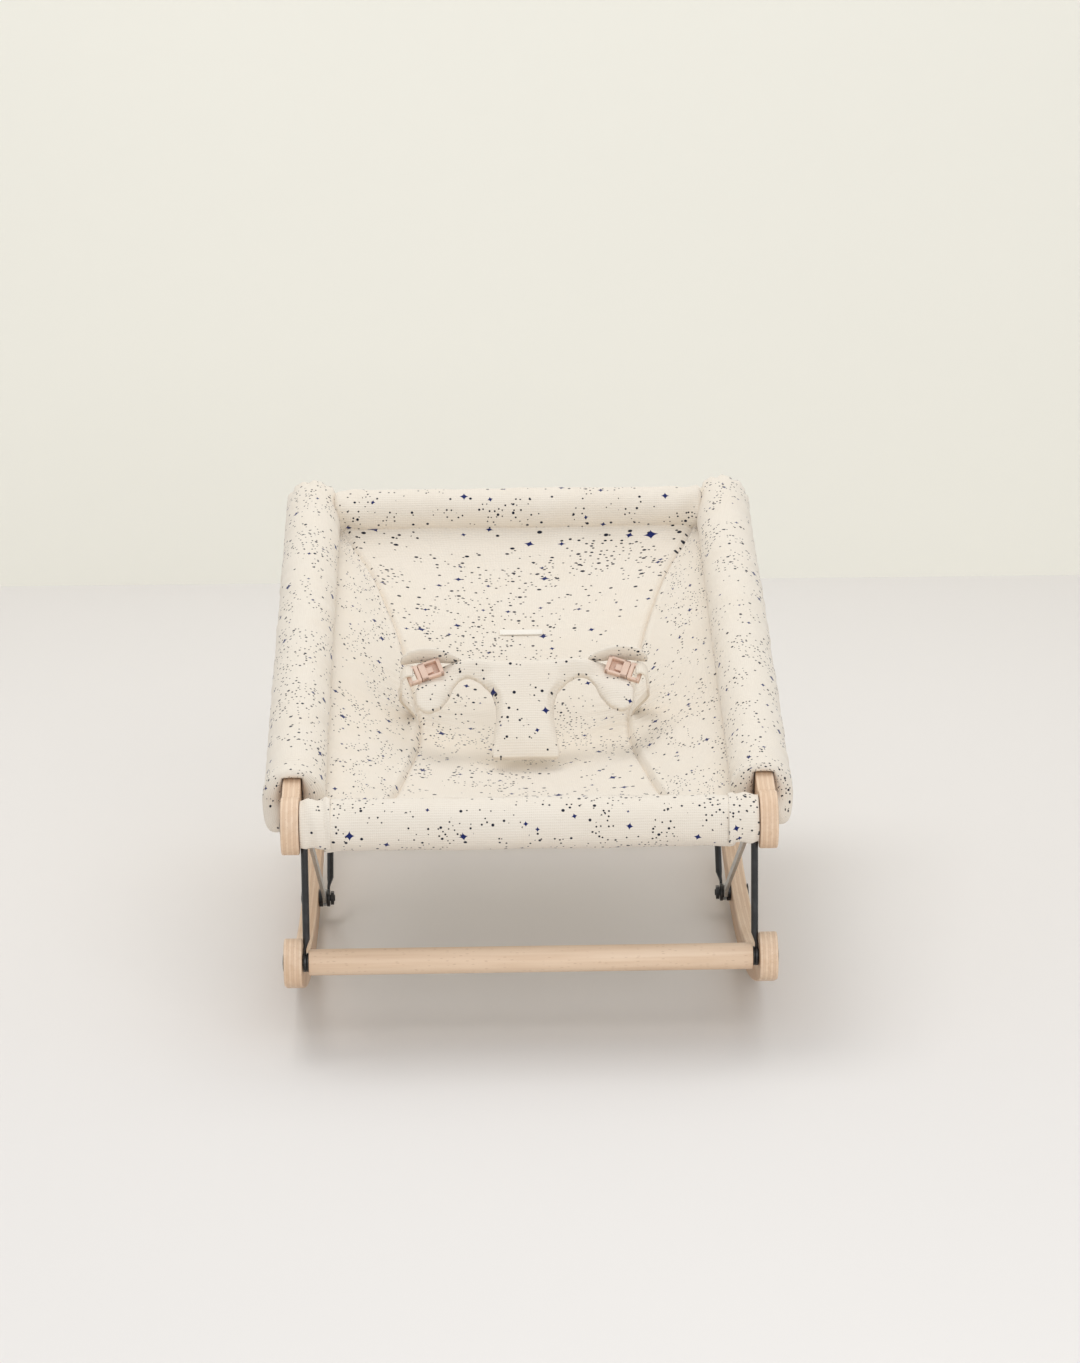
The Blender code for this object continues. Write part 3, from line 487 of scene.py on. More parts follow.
def inflate(made, pressure, voxel, cap):
    """Puff a padded piece: remesh it, run the cloth under pressure and keep each point near its start."""
    bpy.context.view_layer.objects.active = made
    remesh = made.modifiers.new("remesh", "REMESH")
    remesh.mode = "VOXEL"
    remesh.voxel_size = voxel
    apply_all(made)
    start = [vert.co.copy() for vert in made.data.vertices]
    cloth = made.modifiers.new("cloth", "CLOTH")
    settings = cloth.settings
    settings.use_pressure = True
    settings.uniform_pressure_force = pressure
    settings.effector_weights.gravity = 0
    cloth.point_cache.frame_start = 1
    cloth.point_cache.frame_end = INFLATE_FRAMES
    for step in range(1, INFLATE_FRAMES + 1):
        bpy.context.scene.frame_set(step)
    apply_all(made)
    for vert, was in zip(made.data.vertices, start):
        move = vert.co - was
        if move.length > cap:
            vert.co = was + move.normalized() * cap
    bpy.context.scene.frame_set(1)


def apply_all(made):
    """Bake an object's modifiers into its mesh."""
    graph = bpy.context.evaluated_depsgraph_get()
    baked = bpy.data.meshes.new_from_object(made.evaluated_get(graph))
    old = made.data
    made.modifiers.clear()
    made.data = baked
    bpy.data.meshes.remove(old)


def soften(made):
    """Finish a padded piece with a subdivision."""
    step = made.modifiers.new("subdivide", "SUBSURF")
    step.levels = step.render_levels = 1
    made.data.shade_smooth()


def ripple(point, scale, seed=0.0):
    return noise.noise(Vector(point) * scale + Vector((seed, seed * 0.7, seed * 1.3)))


# ---- wood ----------------------------------------------------------------------------
def arc_to(centre, start, end, turn, steps):
    """Move for trace(): from the direction of one point to that of another, turn +1 or -1."""
    first = math.atan2(start[1] - centre[1], start[0] - centre[0])
    last = math.atan2(end[1] - centre[1], end[0] - centre[0])
    angle = (last - first) % (2 * math.pi)
    if turn < 0:
        angle -= 2 * math.pi
    return ("arc", (0, *centre), angle, steps)


def toward(origin, angle, reach):
    return (origin[0] + reach * math.cos(angle), origin[1] + reach * math.sin(angle))


def runner_shape():
    """Outline of a rocker runner: an arc with a round end at each side and fillets inside."""
    half, rise = REAR_DOWEL.y, REAR_DOWEL.z
    r, fillet = RUNNER_END_RADIUS, SHOULDER_FILLET
    big = (half ** 2 + rise ** 2 - r ** 2) / (2 * (rise - r))
    middle_point, down = (0.0, big), -math.pi / 2
    reach = math.asin(half / (big - r))
    end_ring, hollow_ring = big - r, big - RUNNER_HEIGHT - fillet
    gap = math.acos((end_ring ** 2 + hollow_ring ** 2 - (r + fillet) ** 2) / (2 * end_ring * hollow_ring))
    ends = [toward(middle_point, down + side * reach, end_ring) for side in (-1, 1)]
    hollows = [toward(middle_point, down + side * (reach - gap), hollow_ring) for side in (-1, 1)]
    outer = [toward(middle_point, down + side * reach, big) for side in (-1, 1)]
    inner = [toward(middle_point, down + side * (reach - gap), big - RUNNER_HEIGHT) for side in (-1, 1)]
    moves = [arc_to(middle_point, outer[0], outer[1], 1, 150), arc_to(ends[1], outer[1], hollows[1], 1, 30),
             arc_to(hollows[1], ends[1], inner[1], -1, 8), arc_to(middle_point, inner[1], inner[0], -1, 130),
             arc_to(hollows[0], inner[0], ends[0], -1, 8), arc_to(ends[0], hollows[0], outer[0], 1, 30)]
    return (0, *outer[0]), moves


def rail_shape():
    """Outline of a seat rail, straight along Y: a bar with a round end at each side."""
    half, r, fillet = RAIL_HALF_HEIGHT, RAIL_END_RADIUS, SHOULDER_FILLET
    run = math.sqrt((r + fillet) ** 2 - (half + fillet) ** 2)
    near, far = (0.0, 0.0), (RAIL_SPAN, 0.0)
    hollows = {(end, up): (end[0] + (run if end is near else -run), up * (half + fillet))
               for end in (near, far) for up in (-1, 1)}
    touch = {key: (place[0], key[1] * half) for key, place in hollows.items()}
    start = toward(near, math.atan2(-(half + fillet), run), r)
    moves = [arc_to(hollows[near, -1], near, touch[near, -1], -1, 8),
             ("line", (0, RAIL_SPAN, -half), 0, 1),
             arc_to(far, (RAIL_SPAN, -1), (RAIL_SPAN, 1), 1, 24),
             ("line", (0, *touch[near, 1]), 0, 1),
             arc_to(hollows[near, 1], touch[near, 1], near, -1, 8),
             arc_to(near, hollows[near, 1], hollows[near, -1], 1, 34)]
    return (0, *start), moves


def build_wood():
    for word, side in SIDES:
        low, high = side_span(side, INNER_X, OUTER_X)
        runner = thicken(trace(*runner_shape()), low, high)
        piece("runner_panel_" + word, runner, PLYWOOD, "base", ["runner_" + word])
        rail = thicken(trace(*rail_shape()), low, high)
        made = piece("rail_panel_" + word, rail, PLYWOOD, "seat_frame", ["rail_" + word])
        made.data.transform(SEAT)
    rounds = [("front_floor_bar", "lower_front_dowel", LOWER_PIVOT, "base"),
              ("rear_floor_bar", "lower_rear_dowel", REAR_DOWEL, "base"),
              ("front_seat_bar", "upper_front_dowel", UPPER_PIVOT, "seat_frame"),
              ("head_seat_bar", "head_dowel", HEAD_PIVOT, "seat_frame")]
    for name, node, place, body in rounds:
        extent = size(node)
        bar = turned_bar(extent.y / 2, -extent.x / 2, extent.x / 2, 0.0009, 64)
        bmesh.ops.translate(bar, verts=bar.verts, vec=place)
        piece(name, bar, DOWEL_WOOD, body, [node])


# ---- steel ---------------------------------------------------------------------------
def disc(radius, x_low, x_high, place, rounding=0.0004, segments=40):
    bm = turned_bar(radius, x_low, x_high, rounding, segments)
    bmesh.ops.translate(bm, verts=bm.verts, vec=(0, place[1], place[2]))
    return bm


def leg_rod(side, foot, head, head_neck, eye_x, rod_x, head_eye):
    """Round rod between two pivots, flattened to an eye at both ends."""
    run = head - foot
    turn = Matrix.Rotation(-math.atan2(run.y, run.z), 4, "X")
    flat, full = (EYE_HALF, 0.0035), (ROD_RADIUS, ROD_RADIUS)
    length, between = run.length, (eye_x + rod_x) / 2
    stations = [(0.003, flat, eye_x), (0.011, flat, eye_x),
                (0.015, ROD_TO_EYE, between), (0.020, full, rod_x),
                (length - head_neck - 0.004, full, rod_x), (length - head_neck + 0.001, ROD_TO_EYE, between),
                (length - head_neck + 0.005, flat, eye_x), (length - 0.003, flat, eye_x)]
    bm = loft([ring((side * x, 0, z), wide, deep) for z, (wide, deep), x in stations], 24)
    low, high = side_span(side, eye_x - EYE_HALF, eye_x + EYE_HALF)
    join(bm, disc(EYE_RADIUS, low, high, (0, 0, 0)))
    reach, shift_y, shift_z, stretch = head_eye
    top = disc(reach, low, high, (0, 0, 0))
    if stretch:
        for vert in top.verts:
            vert.co.z += math.copysign(stretch, vert.co.z)
    bmesh.ops.translate(top, verts=top.verts, vec=(0, shift_y, length + shift_z))
    join(bm, top)
    bmesh.ops.transform(bm, matrix=Matrix.Translation(foot) @ turn, verts=bm.verts)
    return bm


def domed_head(side, x_start, place, height):
    """Low domed bolt head, its flat back towards the wood, and a raised hexagon on it."""
    radius = BOLT_HEAD_RADIUS
    steps = [(0.0, radius - 0.0002), (height * 0.35, radius), (height * 0.7, radius * 0.93),
             (height * 0.92, radius * 0.72), (height, radius * 0.50)]
    bm = loft([ring((side * (x_start + x), place.y, place.z), r, r, "X") for x, r in steps], 36)
    socket = bmesh.new()
    bmesh.ops.create_cone(socket, cap_ends=True, segments=6, radius1=SOCKET_RADIUS, radius2=SOCKET_RADIUS,
                          depth=0.0004, matrix=ring((side * (x_start + height), place.y, place.z), 1, 1, "X"))
    bmesh.ops.bevel(socket, geom=socket.edges[:], offset=0.0001, segments=1, profile=0.5, affect="EDGES",
                    material=-1)
    return bm, socket


def build_legs():
    legs = [("front_rod", "front_leg", "front_legs", LOWER_PIVOT, UPPER_PIVOT, 0.016, (EYE_RADIUS, 0, 0, 0)),
            ("rear_rod", "rear_leg", "rear_legs", on_middle_plane(FOOT_PIVOT), HEAD_PIVOT, 0.021,
             (0.0091, -0.0020, 0.0020, 0.0028))]
    for name, node, body, foot, head, neck, eye in legs:
        for word, side in SIDES:
            inner, outer = reach_of(node + "_" + word)
            rod_x = inner + ROD_RADIUS
            if outer - inner < 2 * ROD_RADIUS + 0.0002:
                rod_x = (inner + outer) / 2
            bm = leg_rod(side, foot, head, neck, outer - EYE_HALF, rod_x, eye)
            piece(name + "_" + word, bm, BLACK_STEEL, body, [node + "_" + word], 40)


def build_fasteners():
    bolts = [("front_lower_bolt", "base", LOWER_PIVOT), ("rear_dowel_bolt", "base", REAR_DOWEL),
             ("foot_bolt", "base", FOOT_PIVOT), ("front_upper_bolt", "seat_frame", UPPER_PIVOT),
             ("head_bolt", "seat_frame", HEAD_PIVOT)]
    for node, body, place in bolts:
        for word, side in SIDES:
            tip, outer = reach_of(node + "_" + word)
            head, socket = domed_head(side, OUTER_X + 0.0001, place, outer - OUTER_X - 0.0003)
            shank = disc(BOLT_SHANK_RADIUS, *side_span(side, tip, OUTER_X + 0.0008), place, 0.0005, 20)
            piece(node.replace("bolt", "screw") + "_" + word, join(head, socket, shank), BLACK_STEEL, body,
                  [node + "_" + word], 40)
    rings = [("front_lower_washer", "base", LOWER_PIVOT), ("front_upper_washer", "seat_frame", UPPER_PIVOT),
             ("head_washer", "seat_frame", HEAD_PIVOT), ("head_spacer", "seat_frame", HEAD_PIVOT)]
    for node, body, place in rings:
        for word, _ in SIDES:
            low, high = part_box(node + "_" + word)
            bm = disc((high.y - low.y) / 2, low.x, high.x, place, 0.0003)
            piece(node.replace("washer", "disc") + "_ring_" + word, bm, BLACK_STEEL, body,
                  [node + "_" + word], 40)


def finish_packed_metal():
    """Foot bushings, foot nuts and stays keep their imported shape, with eased edges."""
    for node, material in (("foot_bushing", BLACK_STEEL), ("foot_nut", BLACK_STEEL), ("stay", ZINC)):
        for word, _ in SIDES:
            part = frame["nodes"][node + "_" + word]
            part.data.materials.clear()
            part.data.materials.append(material)
            step = part.modifiers.new("edges", "BEVEL")
            step.width, step.segments, step.limit_method = 0.0003, 2, "ANGLE"


# ---- cloth ---------------------------------------------------------------------------
def patch(shape, flat, columns, rows):
    """Cloth grid from two shares of 0 to 1: shape gives a place in the seat, flat one on the cut cloth."""
    bm = bmesh.new()
    bmesh.ops.create_grid(bm, x_segments=columns, y_segments=rows, size=0.5)
    bmesh.ops.translate(bm, verts=bm.verts, vec=(0.5, 0.5, 0))
    layer = bm.loops.layers.uv.new("cloth")
    for face in bm.faces:
        for loop in face.loops:
            loop[layer].uv = flat(loop.vert.co.x, loop.vert.co.y)
    for vert in bm.verts:
        vert.co = SEAT @ Vector(shape(vert.co.x, vert.co.y))
    return bm


def thick_cloth(made, thickness, offset=0.0):
    step = made.modifiers.new("thickness", "SOLIDIFY")
    step.thickness, step.offset = thickness, offset
    return made


SLING_KNOTS = [(0.0138, 0.0165), (0.040, -0.003), (0.0816, -0.0244), (0.189, -0.048), (0.318, -0.066),
               (0.436, -0.0456), (0.540, -0.0285), (0.586, -0.0185), (0.601, -0.0095), (0.612, -0.0040)]
SEAM_KNOTS = [(0.0138, 0.137), (0.08, 0.118), (0.17, 0.103), (0.265, 0.093), (0.34, 0.098), (0.44, 0.114),
              (0.54, 0.139), (0.612, 0.170)]
HIP = 0.318                              # where the sling is deepest and its seams turn
SLING_START = SLING_KNOTS[0][0]
SLING_LENGTH = SLING_KNOTS[-1][0] - SLING_START
SLING_EDGE_HEIGHT = -0.0105
SLING_DIP = 0.0045                       # extra depth along the middle


def hill(value, half_width):
    return math.exp(-(value / half_width) ** 2)


def seam_relief(away, d, side):
    """Height added round a side seam: a groove, a ridge beside it, stitches and puckers at the hip."""
    groove = -0.0042 * hill(away, 0.0020) + 0.0016 * hill(away - 0.0042, 0.0024)
    stitches = 0.0006 * math.sin(d * 900) * hill(away, 0.0060)
    pucker = 0.0022 * hill(d - HIP, 0.045) * hill(away, 0.030) * math.sin(d * 520 + side * 0.8)
    return groove + stitches + pucker


def sling_point(x_share, d_share):
    """Place on the sling's top face; x_share runs from -1 to 1 and the seams lie at -0.5 and 0.5."""
    d = SLING_START + d_share * SLING_LENGTH
    centre, seam = curve_height(SLING_KNOTS, d), curve_height(SEAM_KNOTS, d)
    side, share = math.copysign(1, x_share), abs(x_share)
    edge_h = max(centre, SLING_EDGE_HEIGHT)
    panel_h = centre + 0.12 * (edge_h - centre)
    if share <= 0.5:
        t = share / 0.5
        dip = SLING_DIP * (1 - soft_step(d, 0.54, 0.60)) * soft_step(d, 0.02, 0.08)
        x = seam * t
        h = centre + (panel_h - centre) * t ** 2 - dip * (1 - t ** 2)
        away = (share - 0.5) * seam * 2
    else:
        t = (share - 0.5) / 0.5
        bulge = 0.0045 * math.sin(math.pi * t) * soft_step(d, 0.03, 0.12) * (1 - soft_step(d, 0.50, 0.60))
        x = seam + (SLING_EDGE - seam) * t
        h = panel_h + (edge_h - panel_h) * (0.72 * t + 0.28 * t * t) + bulge
        away = (share - 0.5) * (SLING_EDGE - seam) * 2
    h += seam_relief(away, d, side)
    h -= 0.0030 * hill(d - HIP, 0.016) * (1 - min(1.0, share / 0.5) ** 3)
    h += 0.0022 * ripple((x, d, 0), 17, 3) + 0.0009 * ripple((x, d * 1.7, 0), 46, 9)
    return (side * x, d, h)


def sling_at(x_share, d):
    """Place on the sling at a distance from the front pivot along the seat."""
    return Vector(sling_point(x_share, (d - SLING_START) / SLING_LENGTH))


def build_sling():
    width, length = 2 * (SLING_EDGE + SLING_TUCK), SLING_CUT_LENGTH
    made = piece("seat_cloth", patch(
        lambda a, b: sling_point(2 * a - 1, b), lambda a, b: ((a - 0.5) * width, b * length),
        156, 236), GAUZE, "seat_frame", ["seat_sling"], 80)
    thick_cloth(made, 0.0030, -1.0)


def cross_roll(name, node, radius, half, centre, crumple):
    """Stuffed sleeve across the seat with gathered, closed ends."""
    across = 2 * math.pi * radius

    def shape(a, b):
        angle = 2 * math.pi * a
        c, s = math.cos(angle), math.sin(angle)
        x = (2 * b - 1) * half
        inset = max(0.0, (abs(x) - (half - ROLL_CAP)) / ROLL_CAP)
        r = 0.0
        if inset < 1:
            near_end = soft_step(abs(x), half - 0.045, half - 0.004)
            gather = math.sin(angle * 3 + abs(x) * 160 + math.copysign(0.9, x))
            r = radius * math.sqrt(max(0.0, 1 - inset ** 2.4)) + 0.0014 * crumple * near_end * gather
            r += 0.0008 * ripple((x, c * 0.02, s * 0.02), 42, 5)
            r += 0.0010 * ripple((x * 0.6, c * 0.03, s * 0.03), 20, 2)
        return (x, centre[0] + r * c, centre[1] + r * s)

    def flat(a, b):
        return (b * 2 * half, a * across + 0.31 + centre[0])

    made = piece(name, patch(shape, flat, 96, 190), GAUZE, "seat_frame", [node], 80)


HEM_SHARE, CAP_SHARE = 0.05, 0.95        # shares of a side roll's grid for its open hem and closed end
SLEEVE_CUT_LENGTH = (SIDE_ROLL_END - SIDE_ROLL_START) * 1.06


def sleeve_profile(b):
    """Radius and distance along the seat for a share of the side roll's grid."""
    start, end, r = SIDE_ROLL_START, SIDE_ROLL_END, SIDE_ROLL_RADIUS
    if b < HEM_SHARE:
        share = b / HEM_SHARE
        return r, start + 0.012 * (1 - share) ** 3 - 0.0045 * math.sin(share * math.pi)
    if b > CAP_SHARE:
        turn = (b - CAP_SHARE) / (1 - CAP_SHARE) * math.pi / 2
        return r * math.cos(turn) ** 0.62, end - SLEEVE_CAP + SLEEVE_CAP * math.sin(turn)
    share = (b - HEM_SHARE) / (CAP_SHARE - HEM_SHARE)
    return r, start + share * (end - SLEEVE_CAP - start)


def sleeve_folds(r, d, angle, b, side):
    """Uneven stuffing, the pulled-out hem, the pinch behind it and the gathers at the head end."""
    c, s = math.cos(angle), math.sin(angle)
    hem = hill(d - SIDE_ROLL_START, 0.020)
    corner = hill(angle - 5.35, 0.42)
    r *= 1 + 0.030 * hem + 0.030 * ripple((d, c * 0.03, s * 0.03), 15, side * 4)
    r += 0.0075 * hem * corner
    d -= 0.0080 * hem * corner
    pinch = hill(d - SIDE_ROLL_START - 0.017, 0.0045)
    r -= 0.0013 * pinch * (0.6 + 0.4 * math.sin(angle * 2 + side))
    r += 0.0013 * ripple((d * 1.4, c * 0.016, s * 0.016), 60, side * 7)
    gather = soft_step(d, SIDE_ROLL_END - 0.030, SIDE_ROLL_END - 0.006) * (1 - soft_step(b, 0.985, 1.0))
    r += 0.0011 * gather * math.sin(angle * 9 + 1.3 * side) + 0.0008 * gather * math.sin(angle * 17)
    return r, d


# Slits under the side rolls for the rear legs' eyes and the stays: from, to, how far in, below this height.
SLITS = ((RAIL_SPAN - 0.066, RAIL_SPAN - 0.004, SIDE_ROLL_X - INNER_X + 0.0008, -0.011),
         (SIDE_ROLL_START - 0.02, SIDE_ROLL_START + 0.040, SIDE_ROLL_X - INNER_X + 0.0035, -0.009))


def side_sleeve(word, side):
    """Stuffed sleeve over a rail: open hem at the front, gathered end at the head."""
    rail_middle = PLY_MIDDLE - SIDE_ROLL_X
    wide, tall = PLY_MIDDLE - INNER_X + 0.0003, RAIL_HALF_HEIGHT + 0.0003

    def shape(a, b):
        angle = 2 * math.pi * a
        c, s = math.cos(angle), math.sin(angle)
        r, d = sleeve_folds(*sleeve_profile(b), angle, b, side)
        u, h = r * c, r * s
        if b < HEM_SHARE:
            hug = math.cos(b / HEM_SHARE * math.pi / 2) ** 1.3
            fit = min(wide / max(abs(c), 1e-6), tall / max(abs(s), 1e-6))
            u += (rail_middle + fit * c - u) * hug
            h += (fit * s - h) * hug
        for low_d, high_d, reach, top in SLITS:
            begun = soft_step(d, low_d - 0.008, low_d + 0.004)
            ended = soft_step(d, high_d - 0.004, high_d + 0.008)
            below = 1 - soft_step(h, top - 0.003, top + 0.003)
            if -u > reach:
                u += (-u - reach) * begun * (1 - ended) * below
        return (side * (SIDE_ROLL_X + u), d, h)

    def flat(a, b):
        return (a * 2 * math.pi * SIDE_ROLL_RADIUS + side * 0.4, b * SLEEVE_CUT_LENGTH + 0.07 * side)

    made = piece("side_roll_cloth_" + word, patch(shape, flat, 88, 260), GAUZE,
                 "seat_frame", ["side_roll_" + word], 80)


def front_loop(word, side):
    """Cloth loop at an end of the front roll, open underneath."""
    first, last = math.radians(-18), math.radians(212)
    near, far = LOOP_INNER_X, INNER_X - 0.0007
    R = FRONT_ROLL_RADIUS

    def shape(a, b):
        angle = first + (last - first) * a
        x = near + (far - near) * b
        r = R + 0.0004 - 0.0012 * soft_step(b, 0.75, 1.0)
        r += 0.0010 * math.sin(b * 9.0 + angle * 1.8 + side) * math.sin(math.pi * b) ** 0.5
        r += 0.0016 * hill(b - 0.12 - 0.10 * math.cos(angle), 0.10)
        return (side * x, r * math.cos(angle), r * math.sin(angle))

    made = piece("front_loop_" + word, patch(
        shape, lambda a, b: (b * (far - near) + 0.2 * side, a * (last - first) * R + 0.5), 76, 24), GAUZE,
        "seat_frame", ["front_tab_" + word], 80)
    thick_cloth(made, 0.0022, -1.0)


# ---- restraint -----------------------------------------------------------------------
PAD = (SEAT @ Matrix.Translation((0, PAD_FOOT, curve_height(SLING_KNOTS, PAD_FOOT) + 0.004))
       @ Matrix.Rotation(PAD_SLOPE, 4, "X"))
PAD_EDGE = [(0.0310, 0.000), (0.0303, 0.022), (0.0300, 0.044), (0.0325, 0.060), (0.0400, 0.0725),
            (0.0490, 0.0790), (0.0570, 0.0800), (0.0660, 0.0740), (0.0730, 0.0610), (0.0800, 0.0515),
            (0.0880, 0.0475), (0.0965, 0.0500), (0.1000, 0.0580), (0.0995, 0.0690), (0.0960, 0.0790),
            (0.0920, 0.0890), (0.0840, 0.0965), (0.0600, 0.1000), (0.0300, 0.1005)]


def pad_bend(x, w):
    """How far the pad leans out of its plane: the wings curl back and the lobes forward."""
    wing = soft_step(abs(x), 0.035, 0.100) * soft_step(w, 0.070, 0.095)
    lobe = soft_step(abs(x), 0.055, 0.080) * (1 - soft_step(w, 0.060, 0.090))
    arch = hill(abs(x) - 0.052, 0.018) * soft_step(w, 0.05, 0.08)
    return -0.006 * wing + 0.010 * lobe + 0.007 * arch


def build_pad():
    bm = bmesh.new()
    outline = PAD_EDGE + [(-x, w) for x, w in reversed(PAD_EDGE)]
    bmesh.ops.create_circle(bm, segments=len(outline), radius=1.0, cap_ends=True)
    for vert, (x, w) in zip(bm.verts, outline):
        vert.co = (x, w, -PAD_HALF_THICKNESS)
    grown = bmesh.ops.extrude_face_region(bm, geom=bm.faces[:])
    bmesh.ops.translate(bm, verts=verts_of(grown), vec=(0, 0, 2 * PAD_HALF_THICKNESS))
    made = piece("crotch_pad", bm, GAUZE, "seat_frame", ["restraint_pad"], 80)
    inflate(made, pressure=4.0, voxel=0.0035, cap=0.006)
    for vert in made.data.vertices:
        x, w, t = vert.co
        groove = 0.0010 * hill(abs(x) - 0.062, 0.006) * soft_step(w, 0.05, 0.07)
        t += 0.0008 * ripple((x, w, 0), 34, 4) - groove
        vert.co = PAD @ Vector((x, w, t + pad_bend(x, w)))
    lay_flat(made, PAD.inverted(), (0.9, 0.37))
    soften(made)


def lip(word, side):
    """Small padded lip along the top of a wing, over its buckle."""
    places = [(0.056, 0.0975, 0.003, 0.0025), (0.064, 0.0990, 0.007, 0.0055), (0.076, 0.1005, 0.010, 0.0075),
              (0.089, 0.1010, 0.011, 0.0080), (0.101, 0.0990, 0.010, 0.0070), (0.1090, 0.0955, 0.008, 0.0036)]
    lean = math.radians(-8)
    bm = loft([ring((side * x, w, t), r * 1.35, r * 0.50, "X", lean) for x, w, t, r in places], 28)
    bmesh.ops.subdivide_edges(bm, edges=bm.edges[:], cuts=1, use_grid_fill=True)
    made = piece("pad_lip_" + word, bm, GAUZE, "seat_frame", (), 80)
    made.data.transform(PAD)
    lay_flat(made, PAD.inverted(), (0.6, 0.2), 1.0)
    soften(made)


def rounded_box(low, high, rounding):
    bm = bmesh.new()
    extent = [b - a for a, b in zip(low, high)]
    centre = [(a + b) / 2 for a, b in zip(low, high)]
    bmesh.ops.create_cube(bm, size=1, matrix=Matrix.Translation(centre) @ Matrix.Diagonal((*extent, 1)))
    bmesh.ops.bevel(bm, geom=bm.edges[:], offset=rounding, segments=2, profile=0.5, affect="EDGES",
                    material=-1, clamp_overlap=True)
    return bm


def moulding(side, bars, rounding):
    """Rounded boxes given for the right-hand side, joined into one mesh for either side."""
    bm = bmesh.new()
    for low, high in bars:
        x_low, x_high = side_span(side, low[0], high[0])
        join(bm, rounded_box((x_low, *low[1:]), (x_high, *high[1:]), rounding))
    return bm


def build_buckle(word, side):
    """Side-release buckle on the wing: socket with a window, and a plug with a strap bar."""
    place = PAD @ Matrix.Translation((side * BUCKLE_X, BUCKLE_W, 0.0055)) @ Matrix.Rotation(
        side * BUCKLE_LEAN, 4, "Z")
    half, top, wall = BUCKLE_HALF, BUCKLE_TOP, 0.0014
    socket = moulding(side, [
        ((-0.0200, -half, 0.001), (0.0, -half + wall * 1.6, top)),
        ((-0.0200, half - wall * 1.6, 0.001), (0.0, half, top)),
        ((-0.0200, -half, 0.001), (-0.0165, half, top)),
        ((-0.0060, -half, 0.001), (0.0, half, top)),
        ((-0.0175, -half + wall, 0.0012), (-0.003, half - wall, 0.0024))], 0.0007)
    made = piece("buckle_body_" + word, socket, PLASTIC, "seat_frame",
                 ["buckle_socket_" + word], 40)
    made.data.transform(place)
    plug = moulding(side, [
        ((0.0006, -half, 0.001), (0.0042, half, top)),
        ((0.0088, -half, 0.0015), (0.0122, half, 0.0075)),
        ((0.0030, -half, 0.0015), (0.0110, -half + 0.0026, 0.0075)),
        ((0.0030, half - 0.0026, 0.0015), (0.0110, half, 0.0075)),
        ((-0.0120, -0.0030, 0.0034), (0.0010, 0.0030, 0.0060))], 0.0008)
    made = piece("buckle_clip_" + word, plug, PLASTIC, "buckle_plug_" + word,
                 ["buckle_plug_" + word], 40)
    made.data.transform(place)
    return place


def build_strap(word, side, buckle):
    """Cloth strap, from a loop round the plug's bar down to the seam at the hip."""
    back = SEAT.inverted()
    top = back @ (buckle @ Vector((side * 0.0105, 0, 0.0045)))
    land = sling_at(side * 0.53, 0.300) + Vector((0, 0, 0.001))
    knots = [top + Vector((side * -0.0035, 0.001, 0.0052)), top + Vector((side * 0.0010, 0, 0.0064)),
             top + Vector((side * 0.0058, -0.001, 0.0020)), top + Vector((side * 0.0068, -0.002, -0.010)),
             top.lerp(land, 0.55) + Vector((side * 0.010, 0, 0.002)),
             land + Vector((side * 0.001, 0, 0.004)), land]
    half = STRAP_HALF
    runs = [0.0]
    for before, after in zip(knots, knots[1:]):
        runs.append(runs[-1] + (after - before).length)

    def shape(a, b):
        at = b * runs[-1]
        place = [curve_height([(run, knot[i]) for run, knot in zip(runs, knots)], at) for i in range(3)]
        turn = 0.5 * soft_step(b, 0.2, 1.0) * side
        off = (a * 2 - 1) * half
        return (place[0] + off * math.sin(turn) * 0.5, place[1] + off * math.cos(turn), place[2] + off * 0.15)

    made = piece("hip_band_" + word, patch(
        shape, lambda a, b: (a * 2 * half + 0.15 * side, b * runs[-1] + 0.8), 10, 60), PLAIN_GAUZE,
        "seat_frame", ["hip_strap_" + word], 60)
    thick_cloth(made, 0.0020)
    made.parent = None
    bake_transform(made)


LABEL_SHARE = 0.73                       # how far up the seat the woven tape lies
LABEL_REACH = 0.004


def build_label():
    """Blank woven tape sewn flat on the sling."""
    d = RAIL_SPAN * LABEL_SHARE
    here, after = sling_at(0, d - LABEL_REACH), sling_at(0, d + LABEL_REACH)
    turn = math.atan2(after.z - here.z, after.y - here.y)
    middle_place = (here + after) / 2 + Vector((0, 0, 0.0012))
    bm = rounded_box(-LABEL_HALF, LABEL_HALF, 0.0003)
    graph = Graph("label_tape")
    weave = graph.noise(graph.object_place(), 1500.0)
    graph.surface(Base_Color=graph.mix(weave, (0.80, 0.75, 0.67, 1), (0.88, 0.84, 0.77, 1)), Roughness=0.85,
                  Normal=graph.bump(weave, 0.3, 0.0002))
    made = piece("woven_label", bm, graph.material, "seat_frame", ["back_label"])
    made.data.transform(SEAT @ Matrix.Translation(middle_place) @ Matrix.Rotation(turn, 4, "X"))


# ---- studio --------------------------------------------------------------------------
CAMERA_PLACE = (-0.0416, LOWER_PIVOT.y - 3.3197, 1.1115)
CAMERA_HEADING, CAMERA_DOWN, CAMERA_ROLL = (math.radians(angle) for angle in (-0.89, 13.5, -0.6))
LENS, FILM_HEIGHT = 110.1, 36            # millimetres
STAGE_SIZE = 16
WALL_AWAY = 1.86                         # behind the front floor bar
WALL_MIDDLE, WALL_HEIGHT = 2.0, 4.02
WALL_TURN = math.radians(-0.9)
SKY_COLOUR, SKY_STRENGTH = (0.955, 0.975, 1.0, 1), 0.64


